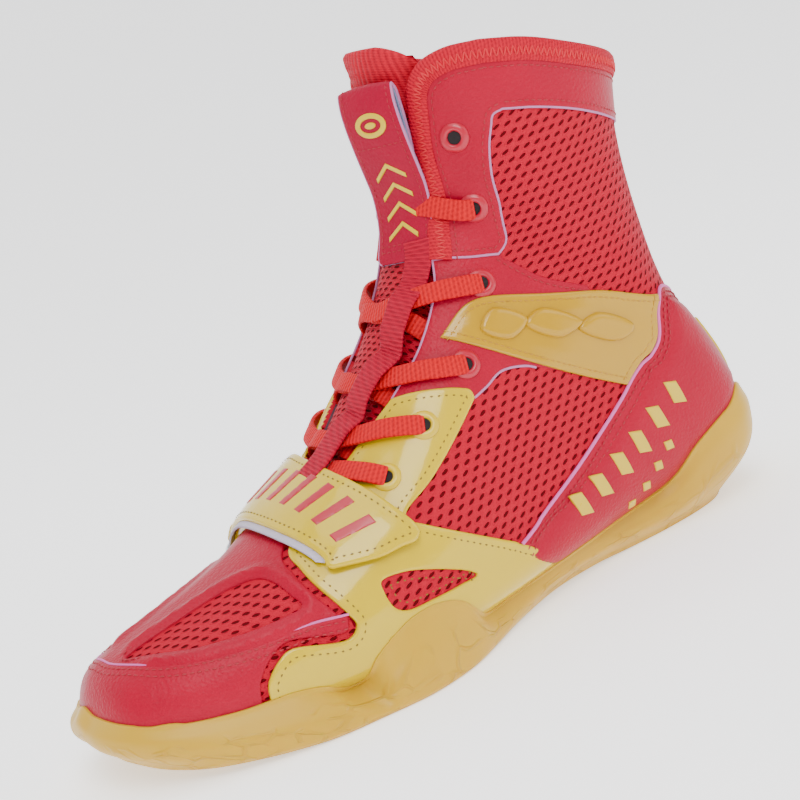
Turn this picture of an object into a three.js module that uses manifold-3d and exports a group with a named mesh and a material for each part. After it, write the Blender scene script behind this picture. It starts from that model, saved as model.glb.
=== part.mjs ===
// A high boxing shoe for the left foot: a padded mesh upper with leather and patent overlays, a
// laced tongue, a strap over the forefoot and a gum sole. Millimetres, +Z up, toe along +X and the
// outer (lateral) side along +Y. The origin is the middle of the heel's flat spot on the floor.
import * as THREE from 'three';
import { mergeVertices } from 'three/addons/utils/BufferGeometryUtils.js';
import Module from 'manifold-3d';

const wasm = await Module();
wasm.setup();

// Driving sizes
const UPPER_LENGTH = 272;        // back of the heel to the tip of the toe
const BALL_WIDTH = 92;           // upper across the ball
const INSTEP_HEIGHT = 88;        // floor to the ridge where the lacing starts to rise
const COLLAR_HEIGHT = 190;       // floor to the front of the collar
const SOLE_LENGTH = 284;         // outsole, tip to tip
const SOLE_WIDTH = 98;           // tread across the ball
const TOE_SPRING = 8.5;           // the tread's tip above the floor
const UPPER_WALL = 2;            // mesh with its lining
const OVERLAY = 1;               // leather and patent panels
const TONGUE_THICKNESS = 3;
const INSOLE_THICKNESS = 3;
const RIM_THICKNESS = 2.4;       // lip of the sole's cup
const GAP = 0.35;                // between pieces that lie on each other
const SEAM = 0.36;               // between panels that lie side by side
const BINDING_WIDTH = 6.5;
const EYELET_RADIUS = 5;
const EYELET_BORE = 2.4;
const EYELET_BARREL = 2.9;
const EYELET_FLANGE = 0.8;
const EYELET_SIDES = 8;
const LACE_WIDTH = 7;
const LACE_THICKNESS = 1.5;
const WEBBING_WIDTH = 8.5;
const WEBBING_THICKNESS = 1.2;
const TAB_WIDTH = 23;
const TAB_THICKNESS = 2;
const STRAP_WIDTH = 25;
const STRAP_THICKNESS = 1.3;
const RING_WIRE = 2.2;
const HEEL_FLAT = 40;            // middle of the heel's flat spot, from the back of the upper
const CUTTER_CHORD = 1.2;        // how far a facet of a cutter may leave the curved surface
const STATIONS = 24;             // facets of the form along the foot
const SIDES = 20;                // facets of the form round the girth
const LINE_CHORD = 1.2;          // how far a span of a panel's outline may leave the surface
const FACET_ROOM = 0.75;         // more room under the upper's wall, for its facets

// Finishes
const finish = (color, roughness, metalness = 0) =>
  new THREE.MeshStandardMaterial({ color, roughness, metalness });
const MESH_RED = finish(0xd8203c, 0.8);
const LEATHER_RED = finish(0xd01a40, 0.45);
const PATENT_YELLOW = finish(0xfcd20c, 0.15);
const BAND_YELLOW = finish(0xf6b820, 0.2);
const LACE_RED = finish(0xe01c22, 0.7);
const GUM = finish(0xd9b04e, 0.5);
const LINING = finish(0x3a3038, 0.9);
const METAL = finish(0xb8bcc2, 0.3, 1);

// The form of the foot. Each row is a section in a side-view plane that turns from upright at the
// toe to level at the collar. x is a share of the upper's length. A height is up shares of the
// instep height plus rise shares of the shaft above it. Half widths are shares of the ball width.
// belly is where the section is widest. crown and inner say how square its upper half is at the
// lateral and the medial side, and keel how square its lower half is.
const SECTION_COLUMNS = ['frontX', 'frontUp', 'frontRise', 'backX', 'backUp', 'backRise',
  'lateral', 'medial', 'belly', 'crown', 'inner', 'keel', 'sway'];
const SECTIONS = [
  [0.998, 0.290, 0.000, 0.998, 0.239, 0.000, 0.030, 0.030, 0.55, 2.00, 1.60, 2.0, -0.046],
  [0.989, 0.359, 0.000, 0.991, 0.199, 0.000, 0.172, 0.145, 0.62, 2.10, 1.50, 3.0, -0.037],
  [0.970, 0.422, 0.000, 0.971, 0.170, 0.000, 0.288, 0.244, 0.66, 2.30, 1.60, 3.6, -0.039],
  [0.928, 0.465, 0.000, 0.930, 0.148, 0.000, 0.376, 0.329, 0.70, 2.40, 1.52, 4.0, -0.042],
  [0.864, 0.516, 0.000, 0.864, 0.125, 0.000, 0.444, 0.388, 0.72, 2.40, 1.45, 4.0, -0.032],
  [0.783, 0.592, 0.000, 0.781, 0.108, 0.000, 0.492, 0.429, 0.74, 2.30, 1.45, 4.0, -0.021],
  [0.697, 0.697, 0.000, 0.688, 0.102, 0.000, 0.534, 0.459, 0.75, 2.30, 1.78, 4.0, -0.018],
  [0.616, 0.829, 0.000, 0.588, 0.102, 0.000, 0.530, 0.456, 0.76, 2.40, 1.95, 4.0, -0.008],
  [0.550, 1.000, 0.000, 0.485, 0.114, 0.000, 0.495, 0.435, 0.76, 2.50, 2.35, 3.6, -0.005],
  [0.494, 1.000, 0.157, 0.375, 0.125, 0.000, 0.446, 0.408, 0.74, 2.60, 2.60, 3.2, 0.000],
  [0.452, 1.000, 0.314, 0.257, 0.142, 0.000, 0.413, 0.391, 0.70, 2.60, 2.60, 2.8, 0.000],
  [0.425, 1.000, 0.451, 0.132, 0.153, 0.000, 0.391, 0.380, 0.64, 2.50, 2.50, 2.6, 0.000],
  [0.408, 1.000, 0.569, 0.023, 0.193, 0.000, 0.386, 0.380, 0.56, 2.40, 2.40, 2.5, 0.000],
  [0.401, 1.000, 0.657, 0.033, 0.489, 0.000, 0.400, 0.386, 0.50, 2.30, 2.30, 2.3, 0.000],
  [0.397, 1.000, 0.745, 0.080, 0.852, 0.000, 0.409, 0.391, 0.48, 2.20, 2.20, 2.1, 0.000],
  [0.395, 1.000, 0.843, 0.092, 1.000, 0.196, 0.405, 0.397, 0.48, 2.20, 2.20, 2.0, 0.000],
  [0.393, 1.000, 0.961, 0.089, 1.000, 0.529, 0.416, 0.402, 0.48, 2.20, 2.20, 2.0, 0.000],
  [0.392, 1.000, 1.098, 0.055, 1.000, 0.882, 0.413, 0.408, 0.48, 2.20, 2.20, 2.0, 0.000],
];

// A row between the rows of a table, on a smooth curve through them
function rowAt(table, t) {
  const last = table.length - 1;
  const i = Math.min(Math.max(Math.floor(t), 0), last - 1);
  const f = t - i;
  const b = table[i];
  const c = table[i + 1];
  const a = i > 0 ? table[i - 1] : b.map((x, k) => 2 * x - c[k]);
  const d = i + 2 <= last ? table[i + 2] : c.map((x, k) => 2 * x - b[k]);
  return b.map((x, k) => 0.5 * (2 * x + (c[k] - a[k]) * f
    + (2 * a[k] - 5 * x + 4 * c[k] - d[k]) * f * f
    + (3 * x - a[k] - 3 * c[k] + d[k]) * f * f * f));
}

const power = (x, e) => Math.pow(Math.max(x, 0), e);
const height = (up, rise) => up * INSTEP_HEIGHT + rise * (COLLAR_HEIGHT - INSTEP_HEIGHT);
const ARC_STEPS = 28;
const sectionCache = new Map();

// One section with the length of its outline from the ridge, on both sides
function sectionAt(t) {
  const key = t.toFixed(5);
  if (sectionCache.has(key)) return sectionCache.get(key);
  const row = rowAt(SECTIONS, t);
  const s = Object.fromEntries(SECTION_COLUMNS.map((name, k) => [name, row[k]]));
  const front = new THREE.Vector3(s.frontX * UPPER_LENGTH, 0, height(s.frontUp, s.frontRise));
  const back = new THREE.Vector3(s.backX * UPPER_LENGTH, 0, height(s.backUp, s.backRise));
  const at = (angle, side) => {
    const width = (side > 0 ? s.lateral : s.medial) * BALL_WIDTH;
    const crown = side > 0 ? s.crown : s.inner;
    const upper = angle <= Math.PI / 2;
    const turn = upper ? angle : angle - Math.PI / 2;
    const deep = upper
      ? s.belly * (1 - power(Math.cos(turn), 2 / crown))
      : s.belly + (1 - s.belly) * power(Math.sin(turn), 2 / s.keel);
    const wide = upper ? power(Math.sin(turn), 2 / crown) : power(Math.cos(turn), 2 / s.keel);
    const p = front.clone().lerp(back, deep);
    p.y = s.sway * BALL_WIDTH + side * width * wide;
    return p;
  };
  const arcs = {};
  for (const side of [1, -1]) {
    const arc = [0];
    let before = at(0, side);
    for (let k = 1; k <= ARC_STEPS; k++) {
      const next = at(k / ARC_STEPS * Math.PI, side);
      arc.push(arc[k - 1] + next.distanceTo(before));
      before = next;
    }
    arcs[side] = arc;
  }
  const section = { at, arcs };
  sectionCache.set(key, section);
  return section;
}

// Half the girth at a station, from the ridge to the base, on one side
const halfGirth = (t, side) => sectionAt(t).arcs[side][ARC_STEPS];

// A point of the form: a station, and a share of the half girth, 0 on the ridge and 1 on the base.
// Lateral shares are positive, and medial ones negative or past 1.
function onForm(t, v) {
  let share = v;
  if (share > 1) share -= 2;
  if (share < -1) share += 2;
  const side = share < 0 ? -1 : 1;
  const { at, arcs } = sectionAt(Math.max(t, 0));
  const arc = arcs[side];
  const want = Math.abs(share) * arc[ARC_STEPS];
  let k = 1;
  while (k < ARC_STEPS && arc[k] < want) k++;
  const part = (want - arc[k - 1]) / (arc[k] - arc[k - 1]);
  return at((k - 1 + part) / ARC_STEPS * Math.PI, side);
}

// Directions on the form: along the stations, along the girth, and outwards
function frameAt(t, v) {
  const dt = 0.04;
  const dv = 0.012;
  const low = Math.max(t - dt, 0);
  const along = onForm(t + dt, v).sub(onForm(low, v)).divideScalar(t + dt - low);
  const around = onForm(t, v + dv).sub(onForm(t, v - dv)).divideScalar(2 * dv);
  const out = around.clone().cross(along).normalize();
  return { along, around, out };
}

function place(t, v, off) {
  return onForm(t, v).addScaledVector(frameAt(t, v).out, off);
}

// Step from a chart point by millimetres on the surface, forward being up the stations
function stepOnForm(t, v, forward, sideways) {
  const { along, around, out } = frameAt(t, v);
  const e1 = along.clone().normalize();
  const e2 = out.clone().cross(e1).negate();
  const want = e1.multiplyScalar(forward).addScaledVector(e2, sideways);
  const aa = along.dot(along);
  const ab = along.dot(around);
  const bb = around.dot(around);
  const pa = want.dot(along);
  const pb = want.dot(around);
  const det = aa * bb - ab * ab;
  return [t + (pa * bb - pb * ab) / det, v + (pb * aa - pa * ab) / det];
}

// Solids from lists of points and triangles
function manifoldOf(points, triangles) {
  const mesh = new wasm.Mesh({
    numProp: 3,
    vertProperties: new Float32Array(points.flatMap((p) => [p.x, p.y, p.z])),
    triVerts: new Uint32Array(triangles.flat()),
  });
  return new wasm.Manifold(mesh);
}

function manifoldOfGeometry(geometry) {
  const bare = geometry.clone();
  bare.deleteAttribute('normal');
  bare.deleteAttribute('uv');
  const merged = mergeVertices(bare, 1e-4);
  return new wasm.Manifold(new wasm.Mesh({
    numProp: 3,
    vertProperties: new Float32Array(merged.attributes.position.array),
    triVerts: new Uint32Array(merged.index.array),
  }));
}

function geometryOf(solid) {
  const { vertProperties, triVerts, numProp } = solid.getMesh();
  const positions = new Float32Array(vertProperties.length / numProp * 3);
  for (let i = 0; i < positions.length / 3; i++) {
    for (let k = 0; k < 3; k++) positions[3 * i + k] = vertProperties[numProp * i + k];
  }
  const geometry = new THREE.BufferGeometry();
  geometry.setAttribute('position', new THREE.BufferAttribute(positions, 3));
  geometry.setIndex(new THREE.BufferAttribute(new Uint32Array(triVerts), 1));
  return geometry;
}

function signedVolume(points, triangles) {
  return triangles.reduce((sum, [a, b, c]) =>
    sum + points[a].dot(points[b].clone().cross(points[c])) / 6, 0);
}

// A closed skin over the whole form at one offset, from its first row of facets to the collar, or
// a little beyond it. All skins have the same facets, so that they lie parallel.
function formSolid(off, firstRow = 0, beyond = 0) {
  const points = [];
  const triangles = [];
  const columns = SIDES;
  const stations = Array.from({ length: STATIONS + 1 - firstRow },
    (_, i) => (v) => collarStation(v) * (i + firstRow) / STATIONS);
  if (beyond > 0) stations.push((v) => collarStation(v) + beyond);
  const rows = stations.length - 1;
  for (const station of stations) {
    for (let j = 0; j < columns; j++) {
      const v = -1 + 2 * j / columns;
      points.push(place(station(v), v, off));
    }
  }
  const quad = (a, b, c, d) => triangles.push([a, b, c], [a, c, d]);
  for (let i = 0; i < rows; i++) {
    for (let j = 0; j < columns; j++) {
      const k = (j + 1) % columns;
      quad(i * columns + j, (i + 1) * columns + j, (i + 1) * columns + k, i * columns + k);
    }
  }
  for (const end of [0, rows]) {
    const ring = points.slice(end * columns, (end + 1) * columns);
    const middle = ring.reduce((s, p) => s.add(p), new THREE.Vector3()).divideScalar(columns);
    const hub = points.push(middle) - 1;
    for (let j = 0; j < columns; j++) {
      const a = end * columns + j;
      const b = end * columns + (j + 1) % columns;
      triangles.push(end === 0 ? [a, b, hub] : [b, a, hub]);
    }
  }
  if (signedVolume(points, triangles) < 0) triangles.forEach((f) => f.reverse());
  return manifoldOf(points, triangles);
}

// Lines on the form, as chart points: station, share of the half girth
const THROAT_LOW = [[6.45, 0], [6.50, 0.07], [6.75, 0.13]];
const THROAT_PATENT = [[6.75, 0.13], [7.50, 0.142], [8.15, 0.158]];
const THROAT_MIDDLE = [[8.15, 0.158], [9.00, 0.161], [10.10, 0.141], [10.66, 0.115]];
const THROAT_SHAFT = [[10.66, 0.115], [11.50, 0.092], [13.40, 0.093], [15.00, 0.122],
  [15.80, 0.146], [16.25, 0.184], [16.55, 0.25], [16.70, 0.34]];
const COLLAR = [[16.70, 0.34], [16.74, 0.45], [16.70, 0.60], [16.66, 0.80], [16.62, 1.0]];
const EYESTAY_HEM = [[10.66, 0.115], [11.00, 0.157], [11.18, 0.179], [11.62, 0.222]];
const WINDOW_FRONT = [[11.62, 0.222], [12.06, 0.23], [12.57, 0.233], [13.72, 0.26],
  [14.75, 0.297], [15.21, 0.321], [15.47, 0.336], [15.64, 0.367]];
const WINDOW_TOP = [[15.64, 0.367], [15.80, 0.453], [15.93, 0.577], [16.02, 0.818], [16.05, 1.0]];
const WINDOW_SILL = [[11.62, 0.222], [11.66, 0.263], [11.75, 0.31], [12.24, 0.404]];
const LOW_WINDOW = [[10.20, 0.40], [10.09, 0.38], [9.70, 0.341], [9.35, 0.332], [9.06, 0.322]];
const PATENT_TOP = [[8.15, 0.158], [8.59, 0.222], [8.98, 0.280], [9.10, 0.305], [9.06, 0.322]];
const PATENT_BACK = [[9.06, 0.322], [8.82, 0.327], [7.71, 0.348], [7.12, 0.350], [7.03, 0.362],
  [7.20, 0.401]];
const PATENT_HEM = [[7.20, 0.401], [8.29, 0.62], [8.90, 0.786]];
const COUNTER_EDGE = [[8.29, 0.62], [8.95, 0.619], [9.80, 0.612], [10.86, 0.585], [11.54, 0.567],
  [12.56, 0.588], [13.30, 0.65], [13.66, 0.71], [13.90, 0.80], [14.00, 0.90], [14.02, 1.0]];
const PATENT_FRONT = [[6.75, 0.13], [6.10, 0.155], [5.61, 0.205], [5.54, 0.28], [5.56, 0.349],
  [5.72, 0.454]];
const PATENT_NOSE = [[5.72, 0.454], [5.75, 0.49], [5.60, 0.508], [4.85, 0.455], [4.68, 0.465],
  [4.42, 0.51], [4.35, 0.569]];
const VAMP_TOP = [[6.28, 0], [6.22, 0.10], [6.10, 0.155]];
const GUARD_LINE = [[2.28, 0], [2.32, 0.10], [2.60, 0.20], [3.19, 0.312], [3.99, 0.372],
  [4.74, 0.407], [5.21, 0.422], [5.72, 0.454]];
const SOLE_RIM = [[0.15, 0], [0.26, 0.36], [0.70, 0.46], [1.70, 0.51], [2.70, 0.54],
  [3.70, 0.562], [4.35, 0.569], [4.70, 0.574], [5.10, 0.595], [5.55, 0.64], [5.85, 0.59],
  [6.30, 0.558], [6.75, 0.563], [7.10, 0.60], [7.45, 0.69], [8.00, 0.74], [8.90, 0.786],
  [9.50, 0.825], [10.00, 0.845], [10.50, 0.845], [11.10, 0.80], [11.80, 0.782], [12.45, 0.83],
  [12.85, 1.0]];
const TOE_WINDOW = [[2.70, 0.125], [4.19, 0.132], [4.76, 0.162], [5.08, 0.21], [5.24, 0.33],
  [5.26, 0.372], [5.04, 0.37], [4.44, 0.35], [3.70, 0.30], [2.95, 0.19]];
const PATENT_WINDOW = [[6.30, 0.435], [6.62, 0.451], [7.34, 0.545], [7.50, 0.585], [7.24, 0.570],
  [6.84, 0.550], [6.45, 0.531], [6.30, 0.507], [6.26, 0.457]];
const SIDE_BAND = [[9.42, 0.193], [10.31, 0.214], [11.34, 0.317], [12.31, 0.432], [13.22, 0.625],
  [12.56, 0.578], [11.54, 0.557], [11.05, 0.565], [10.62, 0.481], [10.08, 0.355]];
const EYELETS = [[14.66, 0.213], [12.55, 0.176], [10.81, 0.218], [9.36, 0.268], [8.15, 0.262],
  [7.20, 0.262]];

// A line with more points where its straight spans would leave the surface
function smooth(line) {
  const curve = new THREE.CatmullRomCurve3(line.map(([t, v]) => new THREE.Vector3(t, 10 * v, 0)),
    false, 'centripetal');
  const at = (u) => {
    const p = curve.getPoint(u);
    return [p.x, p.y / 10];
  };
  const spanned = (a, b) => {
    const half = (a + b) / 2;
    const [p, q, r] = [at(a), at(b), at(half)].map((c) => onForm(...c));
    if (p.add(q).multiplyScalar(0.5).distanceTo(r) < LINE_CHORD) return [at(b)];
    return [...spanned(a, half), ...spanned(half, b)];
  };
  const spans = line.length - 1;
  return [at(0), ...line.slice(1).flatMap((_, k) => spanned(k / spans, (k + 1) / spans))];
}
const reversed = (line) => [...line].reverse();
const medial = (line) => line.map(([t, v]) => [t, -v]);
const pastBase = (line) => line.map(([t, v]) => [t, 2 - v]);

// The part of a line between two of its points
function between(line, first, last) {
  const near = (a, b) => Math.hypot(a[0] - b[0], 10 * (a[1] - b[1]));
  const index = (target) => line.reduce((best, p, k) =>
    (near(p, target) < near(line[best], target) ? k : best), 0);
  return line.slice(index(first), index(last) + 1);
}

// Joins lines end to end into one closed outline
function outlineOf(...lines) {
  const all = lines.flat();
  return all.filter((p, k) => {
    const q = all[(k + 1) % all.length];
    return Math.hypot(p[0] - q[0], 10 * (p[1] - q[1])) > 1e-4;
  });
}

// An outline drawn in by a distance on the surface
function drawnIn(outline, distance) {
  const points = outline.map(([t, v]) => new THREE.Vector2(t, v * 10));
  const turn = THREE.ShapeUtils.area(points) > 0 ? 1 : -1;
  return outline.map(([t, v], k) => {
    const before = outline[(k + outline.length - 1) % outline.length];
    const after = outline[(k + 1) % outline.length];
    const { along, around, out } = frameAt(t, v);
    const leg = (p, q) => along.clone().multiplyScalar(q[0] - p[0])
      .addScaledVector(around, q[1] - p[1]).normalize();
    const inward = (d) => out.clone().cross(d).multiplyScalar(-turn);
    const n1 = inward(leg(before, [t, v]));
    const n2 = inward(leg([t, v], after));
    const sum = n1.clone().add(n2);
    const reach = Math.min(2 / Math.max(sum.lengthSq(), 0.5), 2.2);
    const move = sum.multiplyScalar(distance * reach);
    const e1 = along.clone().normalize();
    const e2 = out.clone().cross(e1).negate();
    return stepOnForm(t, v, move.dot(e1), move.dot(e2));
  });
}

// An open line moved to its left by a distance on the surface
function shifted(line, distance) {
  return line.map(([t, v], k) => {
    const p = line[Math.max(k - 1, 0)];
    const q = line[Math.min(k + 1, line.length - 1)];
    const { along, around, out } = frameAt(t, v);
    const run = along.clone().multiplyScalar(q[0] - p[0]).addScaledVector(around, q[1] - p[1]);
    const move = run.normalize().cross(out).multiplyScalar(distance);
    const e1 = along.clone().normalize();
    const e2 = out.clone().cross(e1).negate();
    return stepOnForm(t, v, move.dot(e1), move.dot(e2));
  });
}

// Splits the edges of a closed chart solid that fit badly, then puts it on the form. The edges of
// its walls stay whole, so that two panels that share a line meet along it.
function wrapped(points, triangles, walls, put) {
  const keyOf = (a, b) => (a < b ? `${a},${b}` : `${b},${a}`);
  const whole = new Set(walls.flatMap(([a, b, c]) => [keyOf(a, b), keyOf(b, c), keyOf(c, a)]));
  const chart = points.slice();
  let faces = [...triangles, ...walls];
  const real = chart.map(put);
  for (let round = 0; round < 7; round++) {
    const middles = new Map();
    const middleOf = (a, b) => {
      const key = keyOf(a, b);
      if (whole.has(key)) return -1;
      if (!middles.has(key)) {
        const half = chart[a].map((x, k) => (x + chart[b][k]) / 2);
        const target = put(half);
        const chord = real[a].clone().add(real[b]).multiplyScalar(0.5);
        const split = target.distanceTo(chord) > CUTTER_CHORD;
        if (split) {
          chart.push(half);
          real.push(target);
        }
        middles.set(key, split ? chart.length - 1 : -1);
      }
      return middles.get(key);
    };
    const next = [];
    for (const face of faces) {
      const mids = face.map((a, k) => middleOf(a, face[(k + 1) % 3]));
      const count = mids.filter((m) => m >= 0).length;
      if (count === 0) next.push(face);
      if (count === 3) {
        const [a, b, c] = face;
        const [ab, bc, ca] = mids;
        next.push([a, ab, ca], [ab, b, bc], [ca, bc, c], [ab, bc, ca]);
      }
      if (count === 1 || count === 2) {
        const lead = count === 1 ? mids.findIndex((m) => m >= 0) : (mids.indexOf(-1) + 1) % 3;
        const [a, b, c] = [0, 1, 2].map((k) => face[(lead + k) % 3]);
        const [ab, bc] = [mids[lead], mids[(lead + 1) % 3]];
        if (count === 1) next.push([a, ab, c], [ab, b, c]);
        if (count === 2) next.push([ab, b, bc], [a, ab, c], [ab, bc, c]);
      }
    }
    const done = next.length === faces.length;
    faces = next;
    if (done) break;
  }
  if (signedVolume(real, faces) < 0) faces.forEach((f) => f.reverse());
  return manifoldOf(real, faces);
}

// A cutter on the form: an outline with holes, between an inner and an outer offset
function cutter(outline, holes, inner, outer) {
  const flat = (line) => line.map(([t, v]) => new THREE.Vector2(t, v * 10));
  const contour = flat(outline);
  if (THREE.ShapeUtils.area(contour) < 0) contour.reverse();
  const rings = holes.map((hole) => {
    const ring = flat(hole);
    if (THREE.ShapeUtils.area(ring) > 0) ring.reverse();
    return ring;
  });
  const skin = THREE.ShapeUtils.triangulateShape(contour, rings);
  const loops = [contour, ...rings];
  const base = loops.flat();
  const count = base.length;
  const points = [0, 1].flatMap((layer) => base.map((p) => [p.x, p.y / 10, layer]));
  const triangles = skin.flatMap(([a, b, c]) => [[a, b, c], [c + count, b + count, a + count]]);
  const walls = [];
  let start = 0;
  for (const loop of loops) {
    for (let k = 0; k < loop.length; k++) {
      const a = start + k;
      const b = start + (k + 1) % loop.length;
      if (base[a].x + base[a].y < base[b].x + base[b].y) {
        walls.push([b, a, b + count], [a, a + count, b + count]);
      } else walls.push([b, a, a + count], [b, a + count, b + count]);
    }
    start += loop.length;
  }
  return wrapped(points, triangles, walls, ([t, v, layer]) =>
    place(t, v, (1 - layer) * inner + layer * outer));
}

// A sheet that follows the form at its own offsets, through some shares of girth at each station
function sheet(first, last, rows, lines, inner, outer) {
  const columns = lines(first).length - 1;
  const points = [];
  const triangles = [];
  const index = (i, j, layer) => (i * (columns + 1) + j) * 2 + layer;
  for (let i = 0; i <= rows; i++) {
    const t = first + (last - first) * i / rows;
    for (const v of lines(t)) points.push(place(t, v, inner(t, v)), place(t, v, outer(t, v)));
  }
  const quad = (a, b, c, d) => triangles.push([a, b, c], [a, c, d]);
  for (let i = 0; i < rows; i++) {
    for (let j = 0; j < columns; j++) {
      quad(index(i, j, 1), index(i + 1, j, 1), index(i + 1, j + 1, 1), index(i, j + 1, 1));
      quad(index(i, j, 0), index(i, j + 1, 0), index(i + 1, j + 1, 0), index(i + 1, j, 0));
    }
    quad(index(i, 0, 0), index(i + 1, 0, 0), index(i + 1, 0, 1), index(i, 0, 1));
    quad(index(i + 1, columns, 0), index(i, columns, 0), index(i, columns, 1),
      index(i + 1, columns, 1));
  }
  for (let j = 0; j < columns; j++) {
    quad(index(0, j + 1, 0), index(0, j, 0), index(0, j, 1), index(0, j + 1, 1));
    quad(index(rows, j, 0), index(rows, j + 1, 0), index(rows, j + 1, 1), index(rows, j, 1));
  }
  if (signedVolume(points, triangles) < 0) triangles.forEach((f) => f.reverse());
  return manifoldOf(points, triangles);
}

// The share of the half girth that a line reaches at a station
function reachAt(line, t) {
  const k = Math.max(line.findIndex((p) => p[0] > t), 1);
  const [a, b] = [line[k - 1], line[k] ?? line[line.length - 1]];
  const part = b[0] > a[0] ? Math.min(Math.max((t - a[0]) / (b[0] - a[0]), 0), 1) : 0;
  return a[1] + (b[1] - a[1]) * part;
}

// A bent sheet's side profile, as mm along the girth or the ridge and mm of offset, run across
// a band. Its two long lines have the same number of points.
function strip(profile, across, put) {
  const count = profile.length;
  const layers = across.length;
  const points = across.flatMap((s) => profile.map(([a, b]) => [a, b, s]));
  const top = (layers - 1) * count;
  const triangles = [];
  for (let k = 0; k < count / 2 - 1; k++) {
    const [a, b, c, d] = [k, k + 1, count - 2 - k, count - 1 - k];
    triangles.push([c, b, a], [d, c, a], [a + top, b + top, c + top], [a + top, c + top, d + top]);
  }
  for (let l = 0; l < layers - 1; l++) {
    for (let k = 0; k < count; k++) {
      const a = l * count + k;
      const b = l * count + (k + 1) % count;
      triangles.push([a, b, b + count], [a, b + count, a + count]);
    }
  }
  const real = points.map(put);
  if (signedVolume(real, triangles) < 0) triangles.forEach((f) => f.reverse());
  return manifoldOf(real, triangles);
}

// The side profile of a bent sheet: its middle line thickened on both sides
function thickened(line, thickness, steps) {
  const curve = new THREE.CatmullRomCurve3(line.map(([a, b]) => new THREE.Vector3(a, b, 0)),
    false, 'centripetal');
  const left = [];
  const right = [];
  for (let k = 0; k <= steps; k++) {
    const p = curve.getPoint(k / steps);
    const d = curve.getTangent(k / steps);
    left.push([p.x - d.y * thickness / 2, p.y + d.x * thickness / 2]);
    right.push([p.x + d.y * thickness / 2, p.y - d.x * thickness / 2]);
  }
  return [...left, ...right.reverse()];
}

// A flat lace along chart points with offsets, its width lying on the form
function ribbon(route, width, thickness, steps) {
  const curve = new THREE.CatmullRomCurve3(route.map((p) =>
    new THREE.Vector3(p[0], 10 * p[1], p[2])), false, 'centripetal');
  const chartAt = (k) => {
    const p = curve.getPoint(k / steps);
    return [p.x, p.y / 10, p.z];
  };
  const middle = Array.from({ length: steps + 1 }, (_, k) => place(...chartAt(k)));
  const points = [];
  const triangles = [];
  for (let k = 0; k <= steps; k++) {
    const [t, v] = chartAt(k);
    const out = frameAt(t, v).out;
    const run = middle[Math.min(k + 1, steps)].clone().sub(middle[Math.max(k - 1, 0)]);
    const side = run.clone().cross(out).normalize();
    const up = side.clone().cross(run).normalize();
    for (const [a, b] of [[-1, -1], [1, -1], [1, 1], [-1, 1]]) {
      points.push(middle[k].clone().addScaledVector(side, a * width / 2)
        .addScaledVector(up, b * thickness / 2));
    }
  }
  for (let k = 0; k < steps; k++) {
    for (let c = 0; c < 4; c++) {
      const a = 4 * k + c;
      const b = 4 * k + (c + 1) % 4;
      triangles.push([a, b, b + 4], [a, b + 4, a + 4]);
    }
  }
  const e = 4 * steps;
  triangles.push([0, 2, 1], [0, 3, 2], [e, e + 1, e + 2], [e, e + 2, e + 3]);
  if (signedVolume(points, triangles) < 0) triangles.forEach((f) => f.reverse());
  return manifoldOf(points, triangles);
}

// Shared levels above the form
const PANEL_TOP = GAP + OVERLAY;
const SECOND_LAYER = PANEL_TOP + GAP;
const TONGUE_TOP = -UPPER_WALL - GAP - FACET_ROOM;
const rim = smooth(SOLE_RIM);
const throatEdge = [THROAT_LOW, THROAT_PATENT, THROAT_MIDDLE, THROAT_SHAFT].flat();

// The collar line: its station for each share of the half girth
function collarStation(v) {
  const share = Math.abs(v);
  const line = [[16.95, 0], [16.90, 0.26], ...COLLAR];
  const k = Math.max(line.findIndex((p) => p[1] > share), 1);
  const [a, b] = [line[k - 1], line[k] ?? line[line.length - 1]];
  const part = b[1] > a[1] ? Math.min((share - a[1]) / (b[1] - a[1]), 1) : 0;
  return a[0] + (b[0] - a[0]) * part;
}

// How far the tongue swells out of the throat, at a chart point
function tongueSwell(t, v) {
  const swell = 3.2 + 4.6 * THREE.MathUtils.smoothstep(t, 11.2, 15.5);
  return swell * THREE.MathUtils.smoothstep(t, 6.6, 7.1)
    * Math.max(1 - (v / swellReach(t)) ** 2, 0);
}

// The share of the half girth within which the tongue is free of the throat's edge
const swellReach = (t) => Math.max(reachAt(throatEdge, Math.min(t, 16)) - 0.02, 0.001)
  * THREE.MathUtils.smoothstep(t, 6.5, 6.9) + 0.001;

// Cuts the eyelets' holes, from a first to a last, on one side
function drilled(solid, first, last, side) {
  return EYELETS.slice(first, last).reduce((left, [t, v]) => {
    const bore = EYELET_BARREL + GAP + 0.25;
    const drill = new THREE.CylinderGeometry(bore, bore, 16, EYELET_SIDES);
    drill.applyQuaternion(new THREE.Quaternion()
      .setFromUnitVectors(new THREE.Vector3(0, 1, 0), frameAt(t, side * v).out));
    const at = onForm(t, side * v);
    drill.translate(at.x, at.y, at.z);
    return left.subtract(manifoldOfGeometry(drill));
  }, solid);
}

// A layer on the form, out of which its panels are cut
function layer(low) {
  return formSolid(low + OVERLAY, 0, 0.3).subtract(formSolid(low, 0, 0.6));
}
const firstLayer = layer(GAP);
const secondLayer = layer(SECOND_LAYER);

const panel = (outline, holes, from = firstLayer) => from.intersect(cutter(outline, holes, -1.6, 4.6));

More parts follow.
